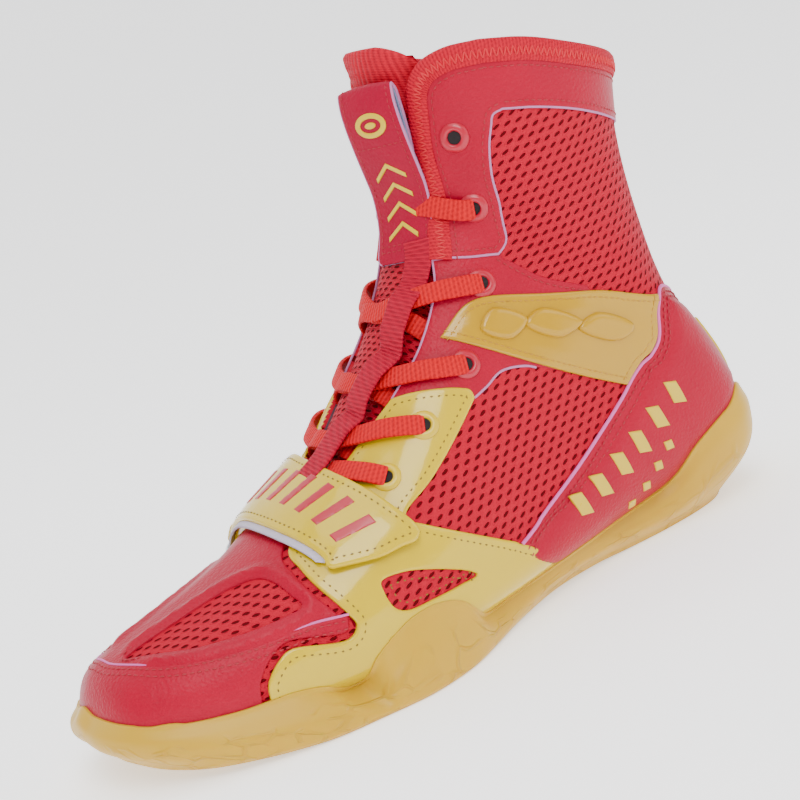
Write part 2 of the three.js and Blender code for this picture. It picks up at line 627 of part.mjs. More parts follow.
function makeUpper() {
  const outer = formSolid(0);
  const inner = formSolid(-UPPER_WALL, 2, 0.8);
  const throatSide = [...smooth(THROAT_LOW), ...smooth(THROAT_PATENT), ...smooth(THROAT_MIDDLE),
    ...smooth(THROAT_SHAFT), [17.4, 0.34]];
  const throat = outlineOf(throatSide, reversed(medial(throatSide)));
  const welt = [[1.8, 0.90], [3, 0.86], [6, 0.84], [9, 0.87], [11.2, 0.90]];
  const under = outlineOf(welt, reversed(pastBase(welt)));
  const solid = outer.subtract(inner)
    .subtract(cutter(throat, [], -9, 7))
    .subtract(cutter(under, [], -6, 4));
  return drilled(drilled(solid, 0, EYELETS.length, 1), 0, EYELETS.length, -1);
}

// The sole, half row by half row from the toe to the heel: the tread's edge with its height, and
// how many mm the side bulges low down and at its neck. Lengths are shares of the sole.
const TREAD_COLUMNS = ['x', 'lateral', 'medial', 'up', 'bulge', 'neck'];
const TREAD = [
  [0.965, -0.050, 0.050, 1.00, 5.0, 3.8],
  [0.964, 0.020, 0.120, 0.98, 5.0, 3.8],
  [0.958, 0.100, 0.190, 0.92, 5.4, 4.0],
  [0.938, 0.230, 0.280, 0.72, 4.4, 3.2],
  [0.900, 0.350, 0.360, 0.48, 3.2, 2.2],
  [0.842, 0.440, 0.410, 0.24, 2.2, 1.1],
  [0.788, 0.495, 0.435, 0.07, 1.8, 0.9],
  [0.757, 0.515, 0.442, 0.02, 1.6, 0.8],
  [0.729, 0.525, 0.446, 0.00, 1.6, 0.8],
  [0.704, 0.535, 0.448, 0.00, 1.6, 0.8],
  [0.680, 0.545, 0.448, 0.00, 1.6, 0.8],
  [0.648, 0.550, 0.444, 0.00, 1.4, 0.7],
  [0.606, 0.530, 0.428, 0.00, 1.2, 0.6],
  [0.570, 0.495, 0.400, 0.02, 1.0, 0.5],
  [0.532, 0.440, 0.360, 0.08, 1.0, 0.5],
  [0.482, 0.370, 0.305, 0.18, 1.2, 0.6],
  [0.412, 0.290, 0.255, 0.25, 2.0, 1.0],
  [0.338, 0.240, 0.225, 0.18, 3.0, 1.5],
  [0.278, 0.220, 0.215, 0.05, 4.0, 2.0],
  [0.215, 0.212, 0.212, 0.00, 5.5, 3.2],
  [0.160, 0.195, 0.195, 0.00, 6.5, 4.0],
  [0.120, 0.160, 0.160, 0.00, 8.0, 5.0],
  [0.095, 0.100, 0.100, 0.05, 10.0, 6.0],
  [0.085, 0.000, 0.000, 0.12, 11.0, 6.5],
];
const SOLE_BACK = -5;            // the sole's heel past the back of the upper
const TREAD_BEVEL = 2.2;

// The sole before its cup is cut, or the room that it needs with a clearance all round
function makeSoleBlank(clearance = 0) {
  const spans = 2;
  const steps = (TREAD.length - 1) * spans;
  const points = [];
  const rings = { 1: [], '-1': [] };
  const rimRows = shifted(Array.from({ length: steps + 1 }, (_, i) => rowAt(SOLE_RIM, i / spans)),
    -clearance);
  const rowsAt = Array.from({ length: steps + 1 }, (_, i) => {
    const row = rowAt(TREAD, i / spans);
    return Object.fromEntries(TREAD_COLUMNS.map((name, k) => [name, row[k]]));
  });
  const treadAt = (row, side) => new THREE.Vector3(
    SOLE_BACK + row.x * SOLE_LENGTH,
    side * (side > 0 ? row.lateral : row.medial) * SOLE_WIDTH,
    Math.max(row.up, 0) * TOE_SPRING,
  );
  for (const side of [1, -1]) {
    for (let i = 0; i <= steps; i++) {
      const tip = i === 0 || i === steps;
      const tread = treadAt(rowsAt[i], side);
      const before = treadAt(rowsAt[Math.max(i - 1, 0)], side);
      const after = treadAt(rowsAt[Math.min(i + 1, steps)], side);
      const run = after.clone().sub(before).setZ(0).normalize();
      const out = tip ? new THREE.Vector3(i === 0 ? 1 : -1, 0, 0)
        : new THREE.Vector3(-run.y, run.x, 0).multiplyScalar(-side);
      const [t, v] = rimRows[i];
      const lip = place(t, side * v, GAP + RIM_THICKNESS + clearance);
      const sunk = place(t, side * v, -1.2);
      const { bulge, neck: swell } = rowsAt[i];
      const edge = tread.clone().addScaledVector(out, TREAD_BEVEL * 0.8 + clearance)
        .add(new THREE.Vector3(0, 0, TREAD_BEVEL));
      const belly = edge.clone().lerp(lip, 0.38).addScaledVector(out, bulge * 0.85);
      const neck = edge.clone().lerp(lip, 0.74).addScaledVector(out, swell);
      const ring = [tread, edge, belly, neck, lip, sunk];
      rings[side].push(ring.map((p, k) => {
        if (side < 0 && tip) return rings[1][i][k];
        return points.push(p) - 1;
      }));
    }
  }
  const triangles = [];
  const quad = (a, b, c, d) => {
    if (new Set([a, b, c]).size === 3) triangles.push([a, b, c]);
    if (new Set([a, c, d]).size === 3) triangles.push([a, c, d]);
  };
  const layers = rings[1][0].length;
  for (let i = 0; i < steps; i++) {
    for (let k = 0; k < layers - 1; k++) {
      const [l, m] = [rings[1], rings[-1]];
      quad(l[i][k], l[i][k + 1], l[i + 1][k + 1], l[i + 1][k]);
      quad(m[i + 1][k], m[i + 1][k + 1], m[i][k + 1], m[i][k]);
    }
    const [l, m, top] = [rings[1], rings[-1], layers - 1];
    quad(l[i][0], l[i + 1][0], m[i + 1][0], m[i][0]);
    quad(l[i + 1][top], l[i][top], m[i][top], m[i + 1][top]);
  }
  if (signedVolume(points, triangles) < 0) triangles.forEach((f) => f.reverse());
  return manifoldOf(points, triangles);
}

function makeSole() {
  const cavity = formSolid(GAP);
  return makeSoleBlank().subtract(cavity);
}

const INSOLE_EDGE = [[1.7, 0.07], [2.2, 0.19], [3.2, 0.24], [5, 0.26], [7, 0.22], [9, 0.15],
  [10.6, 0.11], [11.4, 0.07]];

const soleRoom = makeSoleBlank(GAP);

function makeInsole() {
  const low = -UPPER_WALL - GAP - 2 * FACET_ROOM;
  const lines = (t) => [-1, -0.5, 0, 0.5, 1].map((s) => 1 + s * reachAt(INSOLE_EDGE, t));
  return sheet(INSOLE_EDGE[0][0], INSOLE_EDGE[7][0], 12, lines, () => low - INSOLE_THICKNESS,
    () => low);
}

const TONGUE_EDGE = [[6.15, 0.10], [6.5, 0.17], [7.2, 0.205], [9.0, 0.215], [10.6, 0.185],
  [12.0, 0.155], [14.5, 0.165], [16.1, 0.175], [16.35, 0.13]];

function makeTongue() {
  const lines = (t) => {
    const edge = reachAt(TONGUE_EDGE, t);
    const free = swellReach(t);
    return [-edge, -free, -0.6 * free, 0, 0.6 * free, free, edge];
  };
  return sheet(TONGUE_EDGE[0][0], TONGUE_EDGE[8][0], 20, lines,
    (t, v) => TONGUE_TOP - TONGUE_THICKNESS + tongueSwell(t, v),
    (t, v) => TONGUE_TOP + tongueSwell(t, v));
}

// Overlays
function makeVampFrame() {
  const side = [...smooth(VAMP_TOP), ...between(smooth(PATENT_FRONT), [6.1, 0.155], [5.72, 0.454]),
    ...reversed(smooth(GUARD_LINE))];
  const outline = drawnIn(outlineOf(side, reversed(medial(side))), SEAM / 2);
  const window = smooth([...TOE_WINDOW, TOE_WINDOW[0]]).slice(0, -1);
  return panel(outline, [window, medial(window)]);
}

function makeToeGuard() {
  const side = [...smooth(GUARD_LINE), ...smooth(PATENT_NOSE),
    ...reversed(between(rim, [0.26, 0.36], [4.35, 0.569]))];
  const outline = outlineOf(side, reversed(medial(side)));
  return panel(drawnIn(outline, SEAM), []).subtract(soleRoom);
}

function makeForefootOverlay(side) {
  const outline = outlineOf(smooth(THROAT_PATENT), smooth(PATENT_TOP), smooth(PATENT_BACK),
    smooth(PATENT_HEM), reversed(between(rim, [4.35, 0.569], [8.90, 0.786])),
    reversed(smooth(PATENT_NOSE)), reversed(smooth(PATENT_FRONT)));
  const window = smooth([...PATENT_WINDOW, PATENT_WINDOW[0]]).slice(0, -1);
  const turn = (line) => (side > 0 ? line : medial(line));
  const solid = panel(turn(drawnIn(outline, SEAM / 2)), [turn(window)]).subtract(soleRoom);
  return drilled(solid, 4, 6, side);
}

function makeEyestay(side) {
  const outline = outlineOf(smooth(THROAT_MIDDLE), smooth(EYESTAY_HEM), smooth(WINDOW_SILL),
    smooth(LOW_WINDOW), reversed(smooth(PATENT_TOP)));
  const turn = (line) => (side > 0 ? line : medial(line));
  return drilled(panel(turn(drawnIn(outline, SEAM / 2)), []), 2, 4, side);
}

function makeCollarPanel() {
  const hem = reversed(between(smooth(EYESTAY_HEM), EYESTAY_HEM[1], EYESTAY_HEM[3]));
  const side = [...reversed(smooth(WINDOW_TOP)), ...reversed(smooth(WINDOW_FRONT)), ...hem,
    ...bindingEdge()];
  const outline = outlineOf(side, reversed(pastBase(side)));
  const solid = panel(drawnIn(outline, SEAM / 2), []);
  return drilled(drilled(solid, 0, 2, 1), 0, 2, -1);
}

// The inner edge of the binding, which starts on the eyestay's hem
function bindingEdge() {
  const edge = outlineOf(smooth(THROAT_SHAFT), smooth(COLLAR));
  return [EYESTAY_HEM[1], ...shifted(edge, BINDING_WIDTH).slice(1)];
}

function makeBinding() {
  const edge = outlineOf(smooth(THROAT_SHAFT), smooth(COLLAR));
  const inner = bindingEdge();
  const outline = outlineOf(edge, reversed(pastBase(edge)), pastBase(inner), reversed(inner));
  return panel(drawnIn(outline, SEAM / 2), []);
}

function makeSideBand(side) {
  const outline = side > 0 ? SIDE_BAND : medial(SIDE_BAND);
  return panel(drawnIn(outline, SEAM / 2), [], secondLayer);
}

function makeCounter() {
  const hem = between(smooth(PATENT_HEM), PATENT_HEM[1], PATENT_HEM[2]);
  const side = [...reversed(hem), ...smooth(COUNTER_EDGE)];
  const low = between(rim, [8.90, 0.786], [12.85, 1.0]);
  const outline = outlineOf(side, reversed(pastBase(side)), pastBase(low), reversed(low));
  return panel(drawnIn(outline, SEAM), []).subtract(soleRoom);
}

// Eyelets, turned from a flange and a barrel
const EYELET_SEAT = PANEL_TOP + 0.5;

function makeEyelet([t, v]) {
  const foot = -UPPER_WALL;
  const top = EYELET_SEAT + EYELET_FLANGE;
  const profile = [[EYELET_BORE, foot], [EYELET_BARREL, foot], [EYELET_BARREL, EYELET_SEAT],
    [EYELET_RADIUS, EYELET_SEAT], [EYELET_BORE, top], [EYELET_BORE, foot]];
  const ring = new THREE.LatheGeometry(profile.map(([r, z]) => new THREE.Vector2(r, z)),
    EYELET_SIDES);
  const { out } = frameAt(t, v);
  ring.applyQuaternion(new THREE.Quaternion()
    .setFromUnitVectors(new THREE.Vector3(0, 1, 0), out));
  const at = onForm(t, v);
  ring.translate(at.x, at.y, at.z);
  return manifoldOfGeometry(ring);
}

// Laces: bars run straight across, crossings go down inside the far edge
const LACE_ON_EYELET = EYELET_SEAT + EYELET_FLANGE + GAP + 0.2 + LACE_THICKNESS / 2;
const LACE_ON_PANEL = PANEL_TOP + GAP + 0.3 + LACE_THICKNESS / 2;
const laceOverTongue = (t) => TONGUE_TOP + tongueSwell(t, 0) + GAP + LACE_THICKNESS / 2;

function makeLaceBar([t, v]) {
  const high = Math.max(laceOverTongue(t) + 0.3, LACE_ON_PANEL + 0.3);
  const route = [[t, v + 0.012, LACE_ON_EYELET], [t, 0.6 * v, LACE_ON_EYELET - 0.2],
    [t, 0.2 * v, high], [t, -0.2 * v, high], [t, -0.6 * v, LACE_ON_EYELET - 0.2],
    [t, -v - 0.012, LACE_ON_EYELET]];
  return ribbon(route, LACE_WIDTH, LACE_THICKNESS, 12);
}

const LACE_END_ROOM = 0.05;      // share of girth between a hidden end and the throat's edge

function makeLaceCross(k) {
  const [t0, v0] = EYELETS[k];
  const [t1, v1] = EYELETS[k + 1];
  const middle = (t0 + t1) / 2;
  const reach = (v0 + reachAt(throatEdge, t0 + (t1 - t0) * 0.75) - LACE_END_ROOM) / (v0 + v1);
  const leg = (side) => {
    const at = (f, off) => [t0 + (t1 - t0) * f, side * (v0 - (v0 + v1) * f), off];
    const under = at(reach, TONGUE_TOP + 1.2 + GAP + LACE_THICKNESS / 2
      + tongueSwell(t0 + (t1 - t0) * reach, (v0 + v1) * reach - v0));
    return [at(-0.03, LACE_ON_EYELET), at(0.08, LACE_ON_EYELET), at(0.24, LACE_ON_PANEL + 0.5),
      at(0.5, Math.max(laceOverTongue(middle) + 0.4, LACE_ON_PANEL - 0.6)), under];
  };
  return ribbon(leg(1), LACE_WIDTH, LACE_THICKNESS, 11)
    .add(ribbon(leg(-1), LACE_WIDTH, LACE_THICKNESS, 11));
}

// The webbing on the tongue: low between the crossings and arched over them
const WEBBING_LINE = [[10.15, 0.062], [9.34, 0.072], [8.79, 0.062], [8.20, 0.050], [7.72, 0.035],
  [6.98, 0.035]];

function makeWebbing() {
  const arches = [2, 3, 4].map((k) => (EYELETS[k][0] + EYELETS[k + 1][0]) / 2)
    .concat([EYELETS[5][0]]);
  const clear = LACE_ON_PANEL + LACE_THICKNESS + GAP + WEBBING_THICKNESS / 2 + 0.8;
  const curve = new THREE.CatmullRomCurve3(WEBBING_LINE.map(([t, v]) =>
    new THREE.Vector3(t, 10 * v, 0)), false, 'centripetal');
  const route = curve.getPoints(24).map(({ x: t, y }) => {
    const v = y / 10;
    const near = Math.min(...arches.map((a) => Math.abs(t - a)));
    const arch = 1 - THREE.MathUtils.smoothstep(near, 0.36, 0.6);
    const low = TONGUE_TOP + tongueSwell(t, v) + GAP + WEBBING_THICKNESS;
    return [t, v, low + (clear - low) * arch];
  });
  return ribbon(route, WEBBING_WIDTH, WEBBING_THICKNESS, 30);
}

// The pull tab: a leather loop that stands off the tongue, its two ends sewn on the tongue below
// and above the top bar of lace
function makePullTab() {
  const line = [[11.0, 1.5], [11.35, 2.1], [11.7, 3.8], [12.05, 5.8], [12.6, 8.4], [13.3, 11.4],
    [14.1, 13.4], [15.0, 14.6], [15.7, 14.0], [15.98, 11.4], [15.75, 8.4], [15.2, 6.8],
    [14.4, 5.8], [13.8, 4.7], [13.4, 4.0]];
  const start = onForm(line[0][0], 0);
  const middle = line.map(([t, off]) => {
    const p = place(t, 0, off);
    return [p.x - start.x, p.z - start.z];
  });
  const across = [-TAB_WIDTH / 2, TAB_WIDTH / 2];
  return strip(thickened(middle, TAB_THICKNESS, 28), across,
    ([a, b, s]) => new THREE.Vector3(start.x + a, s, start.z + b));
}

// The strap: sewn at the lateral side, through the ring at the medial side, and back on itself.
// Its side profile is in mm of girth from the ridge and mm of offset.
const STRAP_STATION = 6.27;
const STRAP_SLANT = 0.25;        // stations that the strap climbs to its tip
const STRAP_TIP = 55;
const RING_PLACE = -31;
const RING_OFFSET = SECOND_LAYER + STRAP_THICKNESS + 2 * GAP + 0.3 + RING_WIRE / 2;
const RING_REACH = 10;           // between the middles of the ring's two long bars
const TURN_ROOM = 1.0;           // from a bar's middle to the middle of the bend round it
const STRAP_LOW = SECOND_LAYER + 0.4 + STRAP_THICKNESS / 2;
const STRAP_HIGH = 2 * RING_OFFSET - STRAP_LOW;
const bandOnForm = (t, s) => s / halfGirth(t, s < 0 ? -1 : 1);

function makeStrap() {
  const low = STRAP_LOW;
  const high = STRAP_HIGH;
  const turn = (high - low) / 2;
  const bend = RING_PLACE - TURN_ROOM;
  const line = [[43, low], [30, low], [15, low], [0, low], [-15, low], [bend, low],
    [bend - turn * 0.7, low + turn * 0.3], [bend - turn, (low + high) / 2],
    [bend - turn * 0.7, high - turn * 0.3], [bend, high], [-15, high], [0, high],
    [15, high], [30, high], [40, high - 0.4], [47, low + STRAP_THICKNESS + GAP * 2],
    [STRAP_TIP, low + 0.2]];
  return strip(thickened(line, STRAP_THICKNESS, 32), [-1, 0, 1], ([s, off, side]) => {
    const narrow = 1 - 0.35 * THREE.MathUtils.smoothstep(s, STRAP_TIP - 9, STRAP_TIP + 1);
    const middle = STRAP_STATION + STRAP_SLANT * Math.max(s, 0) / STRAP_TIP;
    return acrossForm(middle, s, off, side * narrow * STRAP_WIDTH / 2);
  });
}

// A point at a length of girth from the ridge, moved a length up the stations
function acrossForm(station, s, off, length) {
  const t = station + length / frameAt(station, bandOnForm(station, s)).along.length();
  return place(t, bandOnForm(t, s), off);
}

// The ring: a flat loop of wire round whose near bar the strap turns. It follows the form a little.
function makeRing() {
  const half = STRAP_WIDTH / 2;
  const bar = RING_REACH / 2;
  const around = [[-half, bar], [0, bar], [half, bar], [half + 1.7, bar - 1.2], [half + 1.7, 0],
    [half + 1.7, 1.2 - bar], [half, -bar], [0, -bar], [-half, -bar], [-half - 1.7, 1.2 - bar],
    [-half - 1.7, 0], [-half - 1.7, bar - 1.2]];
  const loop = around.map(([a, b], k) => {
    const [before, after] = [around.at(k - 1), around[(k + 1) % around.length]];
    const run = new THREE.Vector2(after[0] - before[0], after[1] - before[1]).normalize();
    return [[1, 1], [1, -1], [-1, -1], [-1, 1]].map(([w, h]) => acrossForm(STRAP_STATION,
      RING_PLACE - bar + b - w * run.x * RING_WIRE / 2, RING_OFFSET + h * RING_WIRE / 2,
      a + w * run.y * RING_WIRE / 2));
  });
  const points = loop.flat();
  const triangles = loop.flatMap((_, k) => [0, 1, 2, 3].flatMap((c) => {
    const [i, j] = [4 * k, 4 * ((k + 1) % loop.length)];
    const d = (c + 1) % 4;
    return [[i + c, i + d, j + d], [i + c, j + d, j + c]];
  }));
  if (signedVolume(points, triangles) < 0) triangles.forEach((f) => f.reverse());
  return manifoldOf(points, triangles);
}

// The short tab that holds the ring to the medial side, folded round its far bar
function makeRingTab() {
  const low = STRAP_LOW;
  const high = STRAP_HIGH;
  const turn = (high - low) / 2;
  const bar = RING_PLACE - RING_REACH;
  const bend = bar + TURN_ROOM;
  const line = [[bar - 20, low], [bend, low], [bend + turn * 0.7, low + turn * 0.3],
    [bend + turn, (low + high) / 2], [bend + turn * 0.7, high - turn * 0.3], [bend, high],
    [bar - 12, low + STRAP_THICKNESS + GAP * 1.6], [bar - 20, low + STRAP_THICKNESS + GAP * 1.4]];
  return strip(thickened(line, STRAP_THICKNESS, 14), [-1, 0, 1], ([s, off, side]) =>
    acrossForm(STRAP_STATION, s, off, side * STRAP_WIDTH / 2));
}

// The whole shoe, moved so that the origin is on the heel's flat spot
const shoe = new THREE.Group();
shoe.position.x = -HEEL_FLAT;

function add(name, solid, material) {
  const mesh = new THREE.Mesh(geometryOf(solid), material);
  mesh.name = name;
  shoe.add(mesh);
}

add('outsole', makeSole(), GUM);
add('upper', makeUpper(), MESH_RED);
add('insole', makeInsole(), LINING);
add('tongue', makeTongue(), MESH_RED);
add('tongue_webbing', makeWebbing(), LACE_RED);
add('pull_tab', makePullTab(), LEATHER_RED);
add('vamp_frame', makeVampFrame(), LEATHER_RED);
add('toe_guard', makeToeGuard(), LEATHER_RED);
add('heel_counter', makeCounter(), LEATHER_RED);
add('collar_panel', makeCollarPanel(), LEATHER_RED);
add('collar_binding', makeBinding(), LACE_RED);
for (const [word, side] of [['lateral', 1], ['medial', -1]]) {
  add(`forefoot_overlay_${word}`, makeForefootOverlay(side), PATENT_YELLOW);
  add(`eyestay_${word}`, makeEyestay(side), LEATHER_RED);
  add(`side_band_${word}`, makeSideBand(side), BAND_YELLOW);
  EYELETS.forEach(([t, v], k) => {
    add(`eyelet_${word}_${k + 1}`, makeEyelet([t, side * v]), k < 4 ? LACE_RED : PATENT_YELLOW);
  });
}
add('lace_bar_top', makeLaceBar(EYELETS[1]), LACE_RED);
for (const k of [2, 3, 4]) add(`lace_cross_${k - 1}`, makeLaceCross(k), LACE_RED);
add('lace_bar_bottom', makeLaceBar(EYELETS[5]), LACE_RED);
add('strap', makeStrap(), PATENT_YELLOW);
add('strap_ring', makeRing(), METAL);
add('ring_tab', makeRingTab(), PATENT_YELLOW);

export default shoe;
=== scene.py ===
# %% [markdown]
# # Boxing shoe
# A boxing shoe is light and high: a thin gum sole, a mesh sock that breathes, and leather and
# patent panels sewn over it where it has to hold the foot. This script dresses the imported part,
# and each of its solids gives way to a finished piece. Sizes are millimetres, turned into metres
# where a mesh is made. The toe is along +X, the outer (lateral) side along +Y, and the floor is
# at z = 0.

# %% Frame
import math

import bmesh
import bpy
import numpy as np
from mathutils import Matrix, Vector, kdtree
from mathutils.geometry import delaunay_2d_cdt


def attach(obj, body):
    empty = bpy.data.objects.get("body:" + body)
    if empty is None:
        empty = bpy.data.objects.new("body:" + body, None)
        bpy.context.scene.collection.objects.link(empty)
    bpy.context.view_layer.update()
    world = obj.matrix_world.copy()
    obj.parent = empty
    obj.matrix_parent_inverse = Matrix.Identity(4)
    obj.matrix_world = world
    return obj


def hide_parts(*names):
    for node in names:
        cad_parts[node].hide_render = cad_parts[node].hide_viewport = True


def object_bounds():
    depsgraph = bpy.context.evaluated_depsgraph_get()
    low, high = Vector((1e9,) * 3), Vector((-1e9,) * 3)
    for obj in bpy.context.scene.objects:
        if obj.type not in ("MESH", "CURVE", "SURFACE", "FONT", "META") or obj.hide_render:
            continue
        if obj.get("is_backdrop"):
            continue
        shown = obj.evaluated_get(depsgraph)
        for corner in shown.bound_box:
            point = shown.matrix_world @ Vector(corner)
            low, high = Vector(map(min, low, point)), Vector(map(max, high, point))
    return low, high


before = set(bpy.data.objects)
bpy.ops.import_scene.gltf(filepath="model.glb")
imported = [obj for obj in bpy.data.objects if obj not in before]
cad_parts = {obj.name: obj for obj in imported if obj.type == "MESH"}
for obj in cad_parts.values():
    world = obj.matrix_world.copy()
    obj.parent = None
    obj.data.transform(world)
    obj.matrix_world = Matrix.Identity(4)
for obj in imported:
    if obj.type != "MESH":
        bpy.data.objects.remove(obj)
first_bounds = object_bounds()
print(len(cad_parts), "solids in the frame")

# %% [markdown]
# ## Sizes
# A shoemaker starts from a last: its length, its width at the ball and the height of the shaft.
# These are the part's own driving sizes, so every finished piece fits the solid that it covers.

# %% Sizes
MM = 0.001
UPPER_LENGTH = 272.0
BALL_WIDTH = 92.0
INSTEP_HEIGHT = 88.0
COLLAR_HEIGHT = 190.0
SOLE_LENGTH = 284.0
SOLE_WIDTH = 98.0
TOE_SPRING = 8.5
WALL = 2.0
HEEL_FLAT = 40.0
BINDING_WIDTH = 6.5
LACE_WIDTH = 7.0
LACE_THICKNESS = 1.7
WEBBING_WIDTH = 10.5
TAB_WIDTH = 22.0
STRAP_WIDTH = 25.0
print("upper", UPPER_LENGTH, "by", BALL_WIDTH, "by", COLLAR_HEIGHT, "mm")

# %% [markdown]
# ## The form
# The last could be sculpted, but a form lofted through sections gives every panel one chart to
# lie on. Each row is a section, in a side-view plane that turns from upright at the toe to level
# at the collar. Its lengths are shares of the driving sizes, and `belly`, `crown`, `inner` and
# `keel` round its shoulders and its base.

# %% Sections
SECTION_COLUMNS = ["frontX", "frontUp", "frontRise", "backX", "backUp", "backRise",
                   "lateral", "medial", "belly", "crown", "inner", "keel", "sway"]
SECTIONS = [
    [0.998, 0.290, 0.000, 0.998, 0.239, 0.000, 0.030, 0.030, 0.55, 2.00, 1.60, 2.0, -0.046],
    [0.989, 0.359, 0.000, 0.991, 0.199, 0.000, 0.172, 0.145, 0.62, 2.10, 1.50, 3.0, -0.037],
    [0.970, 0.422, 0.000, 0.971, 0.170, 0.000, 0.288, 0.244, 0.66, 2.30, 1.60, 3.6, -0.039],
    [0.928, 0.465, 0.000, 0.930, 0.148, 0.000, 0.376, 0.329, 0.70, 2.40, 1.52, 4.0, -0.042],
    [0.864, 0.516, 0.000, 0.864, 0.125, 0.000, 0.444, 0.388, 0.72, 2.40, 1.45, 4.0, -0.032],
    [0.783, 0.592, 0.000, 0.781, 0.108, 0.000, 0.492, 0.429, 0.74, 2.30, 1.45, 4.0, -0.021],
    [0.697, 0.697, 0.000, 0.688, 0.102, 0.000, 0.534, 0.459, 0.75, 2.30, 1.78, 4.0, -0.018],
    [0.616, 0.829, 0.000, 0.588, 0.102, 0.000, 0.530, 0.456, 0.76, 2.40, 1.95, 4.0, -0.008],
    [0.550, 1.000, 0.000, 0.485, 0.114, 0.000, 0.495, 0.435, 0.76, 2.50, 2.35, 3.6, -0.005],
    [0.494, 1.000, 0.157, 0.375, 0.125, 0.000, 0.446, 0.408, 0.74, 2.60, 2.60, 3.2, 0.000],
    [0.452, 1.000, 0.314, 0.257, 0.142, 0.000, 0.413, 0.391, 0.70, 2.60, 2.60, 2.8, 0.000],
    [0.425, 1.000, 0.451, 0.132, 0.153, 0.000, 0.391, 0.380, 0.64, 2.50, 2.50, 2.6, 0.000],
    [0.408, 1.000, 0.569, 0.023, 0.193, 0.000, 0.386, 0.380, 0.56, 2.40, 2.40, 2.5, 0.000],
    [0.401, 1.000, 0.657, 0.033, 0.489, 0.000, 0.400, 0.386, 0.50, 2.30, 2.30, 2.3, 0.000],
    [0.397, 1.000, 0.745, 0.080, 0.852, 0.000, 0.409, 0.391, 0.48, 2.20, 2.20, 2.1, 0.000],
    [0.395, 1.000, 0.843, 0.092, 1.000, 0.196, 0.405, 0.397, 0.48, 2.20, 2.20, 2.0, 0.000],
    [0.393, 1.000, 0.961, 0.089, 1.000, 0.529, 0.416, 0.402, 0.48, 2.20, 2.20, 2.0, 0.000],
    [0.392, 1.000, 1.098, 0.055, 1.000, 0.882, 0.413, 0.408, 0.48, 2.20, 2.20, 2.0, 0.000],
]
print(len(SECTIONS), "sections with", len(SECTION_COLUMNS), "values each")

# %% [markdown]
# Between the rows, each value follows a smooth curve. A section is a superellipse: a circle whose
# power of two is raised, so that its sides grow fuller, as a foot's sides do.

# %% Section curves


def rows_at(table, t):
    """Rows between the rows of a table, on smooth curves through them."""
    table, t = np.asarray(table, float), np.asarray(t, float)
    last = len(table) - 1
    i = np.clip(np.floor(t).astype(int), 0, last - 1)
    f = (t - i)[..., None]
    b, c = table[i], table[i + 1]
    a = np.where((i > 0)[..., None], table[np.maximum(i - 1, 0)], 2 * b - c)
    d = np.where((i + 2 <= last)[..., None], table[np.minimum(i + 2, last)], 2 * c - b)
    return 0.5 * (2 * b + (c - a) * f + (2 * a - 5 * b + 4 * c - d) * f ** 2
                  + (3 * b - a - 3 * c + d) * f ** 3)


def section_points(t, angle, side):
    """Half sections at stations t: angle runs from 0 on the ridge to pi on the base."""
    row = rows_at(SECTIONS, t)
    s = {name: row[:, k, None] for k, name in enumerate(SECTION_COLUMNS)}
    shaft = COLLAR_HEIGHT - INSTEP_HEIGHT
    front_z = s["frontUp"] * INSTEP_HEIGHT + s["frontRise"] * shaft
    back_z = s["backUp"] * INSTEP_HEIGHT + s["backRise"] * shaft
    upper = angle <= math.pi / 2
    turn = np.where(upper, angle, angle - math.pi / 2)
    cos, sin = np.maximum(np.cos(turn), 0), np.maximum(np.sin(turn), 0)
    crown = s["crown"] if side > 0 else s["inner"]
    deep = np.where(upper, s["belly"] * (1 - cos ** (2 / crown)),
                    s["belly"] + (1 - s["belly"]) * sin ** (2 / s["keel"]))
    wide = np.where(upper, sin ** (2 / crown), cos ** (2 / s["keel"]))
    half = (s["lateral"] if side > 0 else s["medial"]) * BALL_WIDTH
    x = (s["frontX"] + (s["backX"] - s["frontX"]) * deep) * UPPER_LENGTH - HEEL_FLAT
    return np.stack([x, s["sway"] * BALL_WIDTH + side * half * wide,
                     front_z + (back_z - front_z) * deep], -1)


# %% [markdown]
# The form is kept as a fine grid. A place on it is a station t, from 0 at the tip of the toe to
# 17 above the collar, and a share v of the half girth, 0 on the ridge and 1 on the base. Lateral
# shares are positive. Medial ones are negative, or past 1.

# %% Form grid
T_STEP, V_STEP = 0.04, 0.005
LAST_STATION = 17.6
ANGLES = 161
T_GRID = np.arange(0, LAST_STATION, T_STEP)
V_COUNT = int(round(2 / V_STEP))
FORM = np.zeros((len(T_GRID), V_COUNT, 3))
GIRTH = {}
for side in (1, -1):
    angles = np.linspace(0, math.pi, ANGLES)
    line = section_points(T_GRID, np.tile(angles, (len(T_GRID), 1)), side)
    arc = np.cumsum(np.linalg.norm(np.diff(line, axis=1), axis=2), axis=1)
    arc = np.hstack([np.zeros((len(arc), 1)), arc])
    GIRTH[side] = arc[:, -1]
    shares = np.arange(V_COUNT // 2 + 1) * V_STEP
    exact = np.stack([np.interp(shares * a[-1], a, angles) for a in arc])
    points = section_points(T_GRID, exact, side)
    if side > 0:
        FORM[:, V_COUNT // 2:] = points[:, :-1]
    else:
        FORM[:, 1:V_COUNT // 2] = points[:, 1:-1][:, ::-1]
        FORM[:, 0] = points[:, -1]
ALONG = np.gradient(FORM, T_STEP, axis=0)
AROUND = (np.roll(FORM, -1, 1) - np.roll(FORM, 1, 1)) / (2 * V_STEP)


def unit(a):
    return a / np.maximum(np.linalg.norm(a, axis=-1, keepdims=True), 1e-12)


OUT = unit(np.cross(AROUND, ALONG))
print("form", FORM.shape, "from", FORM.min((0, 1)).round(1), "to", FORM.max((0, 1)).round(1))

# %% [markdown]
# ## Places on the form
# A pattern piece lies on the last at a height of its own. `put` reads the grid with cubic weights,
# so that shiny panels show no facets, and moves the point outwards by an offset.

